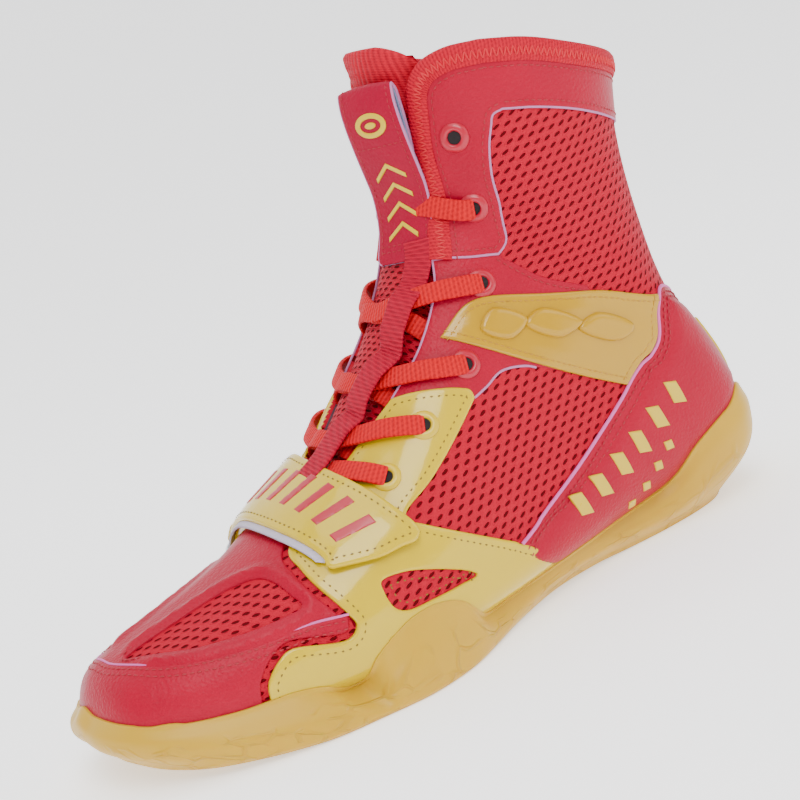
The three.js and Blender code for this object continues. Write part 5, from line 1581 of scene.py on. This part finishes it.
EYELET_BASE = [1.6, 1.6, 1.25, 1.25, 1.9, 1.9]
RED_EYELETS = 4
shadows = []
for side, word in ((1, "lateral"), (-1, "medial")):
    for k, (t, v) in enumerate(EYELETS):
        name = f"eyelet_{word}_{k + 1}"
        enamel, slot = (ENAMEL_YELLOW, "eyelet_yellow")
        if k < RED_EYELETS:
            enamel, slot = (ENAMEL_RED, "eyelet_red")
        adopt(mesh_object(name, *eyelet(t, side * v, EYELET_BASE[k])), enamel, slot, name)
        # Each dark disc is painted shade in an eyelet's hole.
        shadows.append(disc(t, side * v, EYELET_BASE[k] + 0.25, 2.5))
adopt(mesh_object("eyelet_bore_shade", *merged(shadows)), DARK, "lining")
print("eyelets", made[-1])

# %% [markdown]
# ## Laces
# A flat lace is a woven tape. Its route is a short list of places: a station, a share and an
# offset. A curve through them is swept with a flattened oval. Two bars run straight across, and
# three crossings leave each eyelet and go down inside the far edge of the throat.

# %% Laces


def ribbon(route, width, thickness, square=5.0, pitch=0.9):
    """(points, faces, uv) of a flat tape through [t, v, off] places."""
    weights = [1, V_WEIGHT, 0.12]
    line = curve_through(np.asarray(route, float) * weights) / weights
    line = spaced(line, pitch, lambda p: put(p[:, 0], p[:, 1], p[:, 2]))
    path = put(line[:, 0], line[:, 1], line[:, 2])
    outs = out_at(line[:, 0], line[:, 1])
    return sweep(path, outs, oval(width, thickness, 28, square))


def lace_over_tongue(t):
    """How high a lace lies on the tongue."""
    return TONGUE_TOP + tongue_swell(t, 0 * t) + 0.6 + LACE_THICKNESS / 2


def bar(t, v, base, dip):
    """A lace straight across, which dips towards the toe between its eyelets."""
    ends = [[0.0, 0.4], [0.10, 1.9], [0.30, 2.2], [0.60, 0.9]]

    def low(f):
        return t - dip * (1 - (1 - f) ** 2.2)

    high = float(lace_over_tongue(np.array(low(0.9))))
    left = [[low(f), v * (1 - f), base + off] for f, off in ends]
    middle = [[low(0.9), v * 0.12, high], [low(0.9), -v * 0.12, high]]
    right = [[low(f), -v * (1 - f), base + off] for f, off in ends[::-1]]
    return ribbon(left + middle + right, LACE_WIDTH, LACE_THICKNESS)


def crossing(k, side):
    """A lace from an eyelet to the inside of the far edge, above the next eyelet."""
    (t0, v0), (t1, v1) = EYELETS[k], EYELETS[k + 1]
    far_edge = np.interp(t0 + (t1 - t0) * 0.95, throat[:, 0], throat[:, 1])
    reach = (v0 + far_edge + 0.01) / (v0 + v1)
    base = EYELET_BASE[k]

    def at(f, off):
        drop = 1 - (1 - min(f / 0.42, 1.0)) ** 1.7
        return [t0 + (t1 - t0) * drop, side * (v0 - (v0 + v1) * f), off]

    lift = 0.55 if side > 0 else 0.0
    over = max(float(lace_over_tongue(np.array(t1))), base - 0.1)
    route = [at(0.0, base + 0.2), at(0.045, base + 1.7), at(0.11, base + 2.3), at(0.24, base + 1.8),
             at(0.40, over + lift * 2), at(0.56, over + lift * 2),
             at(reach * 0.88, 0.4), at(reach, -2.6), at(reach + 0.05, -3.2)]
    return ribbon(route, LACE_WIDTH * 0.98, LACE_THICKNESS)


adopt(mesh_object("lace_bar_top", *bar(*EYELETS[1], EYELET_BASE[1], 0.8), sharp=70), LACE, "lace",
      "lace_bar_top")
adopt(mesh_object("lace_bar_bottom", *bar(*EYELETS[5], EYELET_BASE[5], 0.5), sharp=70), LACE, "lace",
      "lace_bar_bottom")
for k in (2, 3, 4):
    pair = merged([crossing(k, -1), crossing(k, 1)])
    adopt(mesh_object(f"lace_cross_{k - 1}", *pair, sharp=70), LACE, "lace", f"lace_cross_{k - 1}")
print("laces", made[-5:])

# %% [markdown]
# ## Webbing
# A ribbed webbing runs down the tongue and over the laces, which it keeps in place. Its height
# rises in an arch over each lace and falls to the tongue between them.

# %% Webbing
WEBBING_LINE = [[10.95, 0.075], [10.6, 0.085], [10.02, 0.094], [9.28, 0.099], [8.74, 0.103],
                [8.16, 0.094], [7.70, 0.095], [7.28, 0.086], [6.78, 0.088], [6.40, 0.085]]
WEBBING_HIGH, WEBBING_CLEAR = 5.6, 2.8


def webbing():
    arches = [EYELETS[k + 1][0] for k in (2, 3, 4)] + [EYELETS[5][0] - 0.45]
    line = curve_through(np.array(WEBBING_LINE) * [1, V_WEIGHT], 12) / [1, V_WEIGHT]
    t, v = line[:, 0], line[:, 1]
    near = np.abs(t[:, None] - np.array(arches)).min(1)
    arch = 1 - stepped(near, 0.2, 0.75)
    low = TONGUE_TOP + tongue_swell(t, v) + WEBBING_CLEAR
    off = low + (WEBBING_HIGH - low) * arch
    off = np.where(t > 10.5, off + (t - 10.5) * 1.5, off)
    return ribbon(np.stack([t, v, off], -1), WEBBING_WIDTH, 1.4)


adopt(mesh_object("tongue_webbing", *webbing(), sharp=70), WEBBING, "lace", "tongue_webbing")
print("webbing", made[-1])

# %% [markdown]
# ## Pull tab
# The tab is a strip of leather, lined with felt and folded over, by which the shoe is pulled on.
# Its side view is one curve: up from the lacing, over the fold and back to the tongue. The strip
# is then turned towards the outer side and bowed across its width.

# %% Tab form
TAB_LINE = [[10.3, 1.9], [10.7, 2.4], [11.2, 3.3], [11.7, 4.7], [12.2, 6.2], [12.8, 7.8],
            [13.5, 9.5], [14.2, 10.6], [14.9, 11.1], [15.5, 10.7], [15.88, 8.8], [15.72, 6.6],
            [15.2, 5.6], [14.4, 5.2], [13.7, 4.8], [13.3, 4.4]]
TAB_TURN = math.radians(27)
TAB_MIDDLE = 3.5
TAB_DRIFT = 4.5
tab_points = np.array([put(t, 0.0, off) for t, off in TAB_LINE])[:, [0, 2]]
tab_curve = curve_through(tab_points, 16)
tab_arc = run_length(tab_curve)
ridge = np.array([put(t, 0.0) for t in np.arange(9.8, 17, 0.1)])[:, [0, 2]]


def on_tab(s, y, off):
    """A place on the tab: length from its lower end, side, and height above its middle."""
    s, y, off = np.broadcast_arrays(*[np.asarray(a, float) for a in (s, y, off)])
    x, z = np.moveaxis(picked(tab_curve, tab_arc, s), -1, 0)
    run = unit(picked(tab_curve, tab_arc, s + 0.8) - picked(tab_curve, tab_arc, s - 0.8))
    right = np.stack([run[..., 1], -run[..., 0]], -1)
    lift = off - 0.9 * (y / (TAB_WIDTH / 2)) ** 2 * stepped(s, 0, 12)
    y = y * (0.84 + 0.16 * np.sqrt(1 - (1 - np.clip(s, 0, 4) / 4) ** 2))
    drift = TAB_DRIFT * (1 - np.clip(s / 60, 0, 1))
    shin = np.interp(z, ridge[:, 1], ridge[:, 0])
    foot = shin - 0.7 - 0.35 * drift
    ahead = x + right[..., 0] * lift - shin
    cos, sin = math.cos(TAB_TURN), math.sin(TAB_TURN)
    return np.stack([foot + ahead * cos - y * sin, TAB_MIDDLE + drift + ahead * sin + y * cos,
                     z + right[..., 1] * lift], -1)


top_s = float(tab_arc[np.argmax(tab_curve[:, 1])])
print("the tab is", tab_arc[-1].round(1), "mm long and folded at", round(top_s, 1))

# %% [markdown]
# Leather, felt and the two pale cut edges follow the same strip at different heights.

# %% Tab pieces
s_grid = np.linspace(0, tab_arc[-1], 130)[:, None]
y_grid = np.linspace(-TAB_WIDTH / 2, TAB_WIDTH / 2, 25)[None]
uv_grid = np.stack(np.broadcast_arrays(s_grid, y_grid), -1)
crown = 0.25 * np.sqrt(np.clip(1 - (y_grid / (TAB_WIDTH / 2)) ** 8, 0, 1))
adopt(mesh_object("pull_tab", *shell(on_tab(s_grid, y_grid, 0.75 + crown),
                                     on_tab(s_grid, y_grid, 0.0), uv_grid)),
      TAB_LEATHER, "leather", "pull_tab")
adopt(mesh_object("pull_tab_lining", *shell(on_tab(s_grid, y_grid * 0.985, 0.02),
                                            on_tab(s_grid, y_grid * 0.985, -1.0), uv_grid)),
      LINING, "lining")
edges = []
for y in (-TAB_WIDTH / 2, TAB_WIDTH / 2):
    path = on_tab(s_grid[:, 0], y, 0.25)
    away = on_tab(s_grid[:, 0], y, 1.25) - path
    edges.append((path, away))
tubes("pull_tab_edges", PALE_EDGE, "leather", edges, width=0.8, height=1.3)
print("tab", made[-3:])

# %% [markdown]
# A ring, a lens and four chevrons are welded on as a thin film. They are panels like those of the
# foot, on a chart that is the strip itself.

# %% Tab marks


class TabChart:
    def flat(self, line): return line

    def back(self, flat): return flat

    def put(self, line, off): return on_tab(line[:, 0], line[:, 1], off)


TAB = TabChart()
ring_s = top_s - 13.0
angle = np.arange(40) / 40 * 2 * math.pi


def tab_oval(high, wide):
    return np.stack([ring_s + high * np.sin(angle), wide * np.cos(angle)], -1)


def chevron(s, arm, thick):
    back, tip = -arm * 0.5, arm * 0.28
    return straight_sides([[back, -arm], [tip, 0], [back, arm], [back - thick, arm],
                           [tip - thick, 0], [back - thick, -arm]]) + [s, 0]


marks = [(tab_oval(4.2, 6.2), [tab_oval(2.4, 4.2)]), (tab_oval(1.1, 2.2), [])]
marks += [(chevron(ring_s - 15 - 7.0 * k, 6.0, 1.7), []) for k in range(4)]
panel("pull_tab_marks", ENAMEL_YELLOW, "patent", [], marks, base=0.9, height=0.55, edge=0.4,
      pitch=1.0, sink=0.3, chart=TAB)
print("tab marks", made[-1])

# %% Tab seams
TAB_FACE = 1.02
across, along = TAB_WIDTH / 2 - 1.5, TAB_WIDTH / 2 - 1.8
tab_rows = [(s, np.linspace(-across, across, 20)) for s in (ring_s - 7.5, 4.0, 6.0)]
tab_rows += [(np.linspace(3, top_s, 60), y) for y in (-along, along)]
tab_rows = [(on_tab(s, y, TAB_FACE), on_tab(s, y, TAB_FACE + 1) - on_tab(s, y, TAB_FACE))
            for s, y in tab_rows]
seams("pull_tab_seams", tab_rows, THREAD_RED, "leather", pitch=2.2, length=1.5, width=0.42,
      height=0.35)
print("tab seams", made[-1])

# %% [markdown]
# ## Strap
# A strap over the forefoot goes through a ring on the medial side and comes back over itself. So
# three layers lie there: its lower run, a pale lining and the upper run. They are panels on the
# form with bases one above the other.

# %% Strap
STRAP_STATION = 6.27
STRAP_UP = [[6.70, -0.30], [6.78, -0.20], [6.90, -0.10], [6.80, 0.02], [6.78, 0.151],
            [6.92, 0.290], [7.05, 0.378]]
STRAP_TIP = [[7.05, 0.378], [7.04, 0.402], [6.93, 0.412], [6.72, 0.402], [6.45, 0.393],
             [5.95, 0.357], [5.84, 0.348]]
STRAP_LOW = [[5.84, 0.348], [5.80, 0.335], [5.83, 0.316], [5.69, 0.153], [5.66, -0.006],
             [5.70, -0.10], [5.74, -0.20], [5.78, -0.30]]
strap_up, strap_tip, strap_low = smooth(STRAP_UP), smooth(STRAP_TIP), smooth(STRAP_LOW)
strap_outline = joined(strap_up, strap_tip, strap_low)
low_out = shifted(strap_low, -2.4)[6:]
lining_outline = joined(shifted(strap_up, 1.0)[:-4], shifted(strap_tip, 1.2)[3:-3], low_out)
under_low = shifted(strap_low, -0.6)[6:]
under_outline = joined(shifted(strap_up, 1.5)[:-6], shifted(strap_tip, 3.0)[4:-6], under_low)


def strap_swell(line, far):
    return 0.5 * stepped(far, 1.0, 7.0)


panel("strap", PATENT, "patent", ["strap"], [(strap_outline, [])], base=4.3, height=1.5, edge=1.2,
      sink=0.0, relief=strap_swell)
panel("strap_lining", STRAP_LINING, "lining", [], [(lining_outline, [])], base=3.3, height=0.95,
      edge=0.6, sink=0.0)
panel("strap_under", PATENT, "patent", [], [(under_outline, [])], base=2.2, height=1.05, edge=0.6,
      sink=1.0)

print("strap", made[-3:])

# %% [markdown]
# Seven slanted bars of thick film are welded across the strap.

# %% Strap bars
BARS = 7
strap_marks = []
for f in np.arange(BARS) / (BARS - 1):
    t, v = 6.28 + 0.10 * f, -0.10 + 0.40 * f
    strap_marks.append((straight_sides([[t - 0.30, v - 0.016], [t - 0.30, v + 0.008],
                                        [t + 0.26, v + 0.030], [t + 0.26, v + 0.006]]), []))
panel("strap_bars", ENAMEL_RED, "leather", [], strap_marks, base=6.15, height=0.45, edge=0.4,
      pitch=1.0, sink=0.3)
print("bars", made[-1])

# %% [markdown]
# ## Ring
# The ring is bent from steel wire into a rounded rectangle. The strap bends round its near bar,
# and a short tab, sewn to the shoe, bends round its far bar. Both bends are strips of the strap's
# width, given as lengths of girth and offsets from the form.

# %% Ring
RING_PLACE, RING_REACH, RING_OFFSET = -32.0, 10.0, 4.1
RING_WIRE = 2.2
STRIP_POINTS = 15
turn_angle = np.linspace(-math.pi / 2, math.pi / 2, 14)


def bent_strip(s, off, lean, half):
    """A strip along (s, off), thickened by half to each side in the direction lean."""
    across = np.linspace(-STRAP_WIDTH / 2, STRAP_WIDTH / 2, STRIP_POINTS)[None]
    grids = [across_form(np.full((len(s), STRIP_POINTS), STRAP_STATION),
                         (s + lean[:, 0] * lift)[:, None] + 0 * across,
                         (off + lean[:, 1] * lift)[:, None] + 0 * across,
                         across + 0 * s[:, None]) for lift in (half, -half)]
    return shell(*grids, np.stack(np.broadcast_arrays(s[:, None], across), -1))


def turned_strap():
    """The bend of the strap round the ring's near bar."""
    s = np.hstack([[RING_PLACE + 8, RING_PLACE + 4], RING_PLACE - 1.6 * np.cos(turn_angle),
                   [RING_PLACE + 4, RING_PLACE + 8]])
    off = np.hstack([[RING_OFFSET - 1.6] * 2, RING_OFFSET + 1.6 * np.sin(turn_angle),
                     [RING_OFFSET + 1.6] * 2])
    lean = np.hstack([[[0, 0], [-1, -1]], [-np.cos(turn_angle), np.sin(turn_angle)],
                      [[0, 0], [1, 1]]])
    return bent_strip(s, off, lean.T, 0.65)


adopt(mesh_object("strap_turn", *turned_strap(), sharp=50), PATENT, "patent")

round_angle = np.arange(64) / 64 * 2 * math.pi
ring_long = STRAP_WIDTH / 2 + 2.0
ring_a = np.sign(np.cos(round_angle)) * np.abs(np.cos(round_angle)) ** 0.35 * ring_long
ring_b = np.sign(np.sin(round_angle)) * np.abs(np.sin(round_angle)) ** 0.35 * RING_REACH / 2


def ring_line(off):
    return across_form(np.full(64, STRAP_STATION), RING_PLACE - RING_REACH / 2 + ring_b,
                       np.full(64, off), ring_a)


ring_out = ring_line(RING_OFFSET + 1) - ring_line(RING_OFFSET)
wire = sweep(ring_line(RING_OFFSET), ring_out, oval(RING_WIRE, RING_WIRE, 14), closed=True)
adopt(mesh_object("strap_ring", *wire), STEEL, "metal", "strap_ring")


def ring_tab():
    """The short tab round the ring's far bar."""
    far = RING_PLACE - RING_REACH
    s = np.hstack([[far - 20, far - 10, far - 3], far + 1.6 * np.cos(turn_angle),
                   [far - 3, far - 11, far - 20]])
    off = np.hstack([[2.3, 2.4, RING_OFFSET - 1.6], RING_OFFSET + 1.6 * np.sin(turn_angle),
                     [RING_OFFSET + 1.5, 3.9, 3.6]])
    run = unit(np.stack([np.gradient(s), np.gradient(off)], -1))
    return bent_strip(s, off, np.stack([-run[:, 1], run[:, 0]], -1), 0.6)


adopt(mesh_object("ring_tab", *ring_tab(), sharp=50), PATENT, "patent", "ring_tab")
print("ring", made[-3:])

# %% [markdown]
# ## Piping
# The cut edge of coated leather is pale, and along the counter it is bound by a thin piping. Both
# show as fine lines between the panels, and are thin tubes along the panels' own edges.

# %% Piping
toe_pipe = np.vstack([mirrored(smooth(GUARD_LINE))[::-1], smooth(GUARD_LINE)[1:]])
counter_pipe = np.vstack([smooth(COUNTER_EDGE), past_base(smooth(COUNTER_EDGE))[::-1][1:]])
window_pipe = np.vstack([smooth(WINDOW_FRONT), smooth(WINDOW_TOP)[1:]])
window_pipe = np.vstack([window_pipe, past_base(window_pipe)[::-1][1:]])
hem_pipe = smooth(EYESTAY_HEM)
tubes("toe_piping", PIPING, "leather", [on_form(toe_pipe, 1.2)], width=0.9, height=0.9)
tubes("counter_piping", PIPING, "leather", [on_form(counter_pipe, 1.3)], width=1.3, height=1.2)
pale = [on_form(window_pipe, 1.15), on_form(hem_pipe, 1.3), on_form(mirrored(hem_pipe), 1.3)]
low = smooth(LOW_WINDOW)
pale += [on_form(low, 0.9), on_form(mirrored(low), 0.9)]
eye_edge = smooth(THROAT_MIDDLE)
pale += [on_form(eye_edge, 0.9), on_form(mirrored(eye_edge), 0.9)]
tubes("pale_edges", PALE_EDGE, "leather", pale, width=0.9, height=0.9)
print("piping", made[-3:])

# %% [markdown]
# ## Seams
# Every panel is sewn a few millimetres inside its edge. Each row is a line, how far the seam is
# moved to its left, and how high the panel's face lies there.

# %% Seams
PATENT_FACE, BAND_FACE, STRAP_FACE = 1.88, 2.05, 6.05
RED_SEAMS = [
    (smooth(GUARD_LINE), 1.8, 1.5), (smooth(GUARD_LINE), 4.2, 1.5),
    (smooth(COUNTER_EDGE), 2.4, 1.75), (smooth(COUNTER_EDGE), 4.6, 1.75),
    (smooth(WINDOW_FRONT), -2.2, 1.65), (smooth(WINDOW_TOP), -2.2, 1.65),
    (smooth(EYESTAY_HEM), -2.2, 1.65), (smooth(WINDOW_SILL), 2.0, 1.2),
    (smooth(THROAT_SHAFT), BINDING_WIDTH + 1.6, 1.65), (smooth(COLLAR), BINDING_WIDTH + 1.6, 1.65),
    (closed_line(toe_window), -1.4, 1.5),
]
OLIVE_SEAMS = [(smooth(line), 2.8, PATENT_FACE)
               for line in (PATENT_TOP, PATENT_BACK, PATENT_HEM, THROAT_PATENT)]
OLIVE_SEAMS += [(smooth(line), -2.8, PATENT_FACE) for line in (PATENT_FRONT, PATENT_NOSE)]
OLIVE_SEAMS += [(closed_line(patent_window), 2.6, PATENT_FACE)]
GOLD_SEAMS = [(smooth(line), 2.4, BAND_FACE) for line in (BAND_TOP, BAND_LOW, BAND_END)]
strap_rows = [on_form(shifted(line, 2.6), STRAP_FACE) for line in (strap_up, strap_tip, strap_low)]


def both_sides(rows):
    return [on_form(sided(shifted(line, distance), side), off)
            for side in (1, -1) for line, distance, off in rows]


seams("red_seams", both_sides(RED_SEAMS), THREAD_RED, "leather", pitch=2.4, length=1.7,
      width=0.62, height=0.45)
seams("patent_seams", both_sides(OLIVE_SEAMS) + strap_rows, THREAD_DARK, "patent", pitch=2.5,
      length=1.0, width=0.55, height=0.25)
seams("band_seams", both_sides(GOLD_SEAMS), THREAD_GOLD, "band", pitch=2.2, length=1.7, width=0.5,
      height=0.4)
print("seams", made[-3:])

# %% [markdown]
# ## Marks on the counter
# A row of rhombs and a shorter row of dashes below it, both of thin film welded on the leather.
# They are drawn in millimetres, round points spaced evenly along a curve.

# %% Counter marks
COUNTER_ROW = np.array([[9.30, 0.672], [9.78, 0.682], [10.31, 0.683], [10.95, 0.669], [11.46, 0.655]])
LOWER_ROW = np.array([[9.95, 0.790], [10.25, 0.775], [10.51, 0.755], [10.80, 0.735]])


def rhomb(t, v, up, wide, slant):
    """A slanted four-sided mark round a place."""
    along = unit(sample(ALONG, t, v))
    around = np.cross(along, out_at(t, v))
    outline = straight_sides([(-up / 2, -wide / 2 - slant / 2), (-up / 2, wide / 2 - slant / 2),
                              (up / 2, wide / 2 + slant / 2), (up / 2, -wide / 2 + slant / 2)])
    return np.array([step(t, v, along * a + around * b) for a, b in outline])


def mark_row(line, count, up, wide, slant):
    path = spaced(curve_through(line * [1, V_WEIGHT]) / [1, V_WEIGHT], 0.5)
    picks = path[np.linspace(0, len(path) - 1, count).astype(int)]
    return [(rhomb(t, v, up, wide, slant), []) for t, v in picks]


counter_marks = mark_row(COUNTER_ROW, 6, 5.0, 9.0, 3.0) + mark_row(LOWER_ROW, 4, 3.6, 3.6, 1.4)
counter_marks += [(mirrored(loop), []) for loop, _ in counter_marks]
panel("counter_marks", ENAMEL_YELLOW, "patent", [], counter_marks, base=2.35, height=0.55,
      edge=0.5, pitch=1.0, sink=0.6)
print("marks", made[-1])

# %% [markdown]
# ## Floor
# A photographer's backdrop is one sheet of paper that curves up behind the object, so that no
# line shows where the floor ends. Its sizes are in metres. It glows a little, which keeps it pale
# without hard light on the shoe.

# %% Floor
HALF_WIDTH, NEAR_END, BEND_START, BEND_RADIUS, TOP_END = 14.0, -8.0, 0.5, 3.0, 9.0


def stage():
    rows = [(NEAR_END, 0.0), (BEND_START, 0.0)]
    rows += [(BEND_START + BEND_RADIUS * math.sin(a), BEND_RADIUS - BEND_RADIUS * math.cos(a))
             for a in np.linspace(0, math.pi / 2, 40)[1:]]
    rows.append((BEND_START + BEND_RADIUS, TOP_END))
    mesh = bpy.data.meshes.new("floor")
    mesh.from_pydata([(x, -y, z) for y, z in rows for x in (-HALF_WIDTH, HALF_WIDTH)], [],
                     [(2 * k, 2 * k + 1, 2 * k + 3, 2 * k + 2) for k in range(len(rows) - 1)])
    floor = bpy.data.objects.new("floor", mesh)
    bpy.context.scene.collection.objects.link(floor)
    paper = Shader("paper", (0.94, 0.94, 0.95), 0.9, Emission_Color=(1, 1, 1, 1),
                   Emission_Strength=0.9)
    mesh.materials.append(paper.material)
    mesh.shade_smooth()
    floor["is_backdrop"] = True
    return floor


print("floor", len(stage().data.polygons), "faces")

# %% [markdown]
# ## Light
# Three large round lamps: a key from the front of the outer side, a weak fill, and a top light.
# Large lamps give patent leather broad soft highlights.

# %% Light
LAMPS = [
    ("key", (0.5, 1.1, 1.3), (0.08, 0, 0.08), 1.0, 24),
    ("fill", (-0.9, 1.1, 0.7), (0.05, 0, 0.08), 1.0, 6),
    ("top", (0.1, 0.1, 1.5), (0.08, 0, 0.05), 1.2, 10),
]
WORLD_STRENGTH = 0.6


def lamp(name, place, aim, size, power):
    data = bpy.data.lights.new(name, "AREA")
    data.shape, data.size, data.energy = "DISK", size, power
    obj = bpy.data.objects.new(name, data)
    obj.location = place
    obj.rotation_mode = "QUATERNION"
    obj.rotation_quaternion = (Vector(aim) - Vector(place)).to_track_quat("-Z", "Y")
    bpy.context.scene.collection.objects.link(obj)


for row in LAMPS:
    lamp(*row)
world = bpy.data.worlds.new("studio")
world.use_nodes = True
world.node_tree.nodes["Background"].inputs["Color"].default_value = (1, 1, 1, 1)
world.node_tree.nodes["Background"].inputs["Strength"].default_value = WORLD_STRENGTH
bpy.context.scene.world = world
print(len(LAMPS), "lamps")

# %% [markdown]
# ## Camera
# The photograph is taken with a longer lens from the outer side, a little above the floor, and the
# picture is turned, so that the shoe seems to stand on its toe. The camera looks at the middle of
# the shoe from a distance in millimetres.

# %% Camera
AZIMUTH, ELEVATION, ROLL = (math.radians(a) for a in (154.0, 13.0, -17.7))
DISTANCE, FOCAL, SENSOR = 666.0, 85.5, 36.0
TARGET = np.array([129.3 - HEEL_FLAT, -7.4, 77.6])


def camera():
    back = np.array([math.sin(AZIMUTH) * math.cos(ELEVATION),
                     -math.cos(AZIMUTH) * math.cos(ELEVATION), math.sin(ELEVATION)])
    right = np.array([math.cos(AZIMUTH), math.sin(AZIMUTH), 0.0])
    up = np.cross(back, right)
    x_axis = math.cos(ROLL) * right + math.sin(ROLL) * up
    y_axis = -math.sin(ROLL) * right + math.cos(ROLL) * up
    data = bpy.data.cameras.new("camera")
    data.lens, data.sensor_width = FOCAL, SENSOR
    data.clip_start, data.clip_end = 0.05, 30.0
    obj = bpy.data.objects.new("camera", data)
    spot = (TARGET + back * DISTANCE) * MM
    turn = Matrix([[*row] for row in np.stack([x_axis, y_axis, back], 1)]).to_4x4()
    obj.matrix_world = Matrix.Translation(Vector(spot)) @ turn
    bpy.context.scene.collection.objects.link(obj)
    bpy.context.scene.camera = obj


camera()
print("camera at", [round(x, 3) for x in bpy.context.scene.camera.matrix_world.translation])

# %% [markdown]
# ## Bounds
# The box of the solids and the box of the finished shoe are printed.

# %% Finish
last_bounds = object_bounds()
print("triangles", sum(n for _, n in made), "pieces", len(made))
for label, box in (("solids", first_bounds), ("finished", last_bounds)):
    print(label, [[round(x / MM, 1) for x in corner] for corner in box])
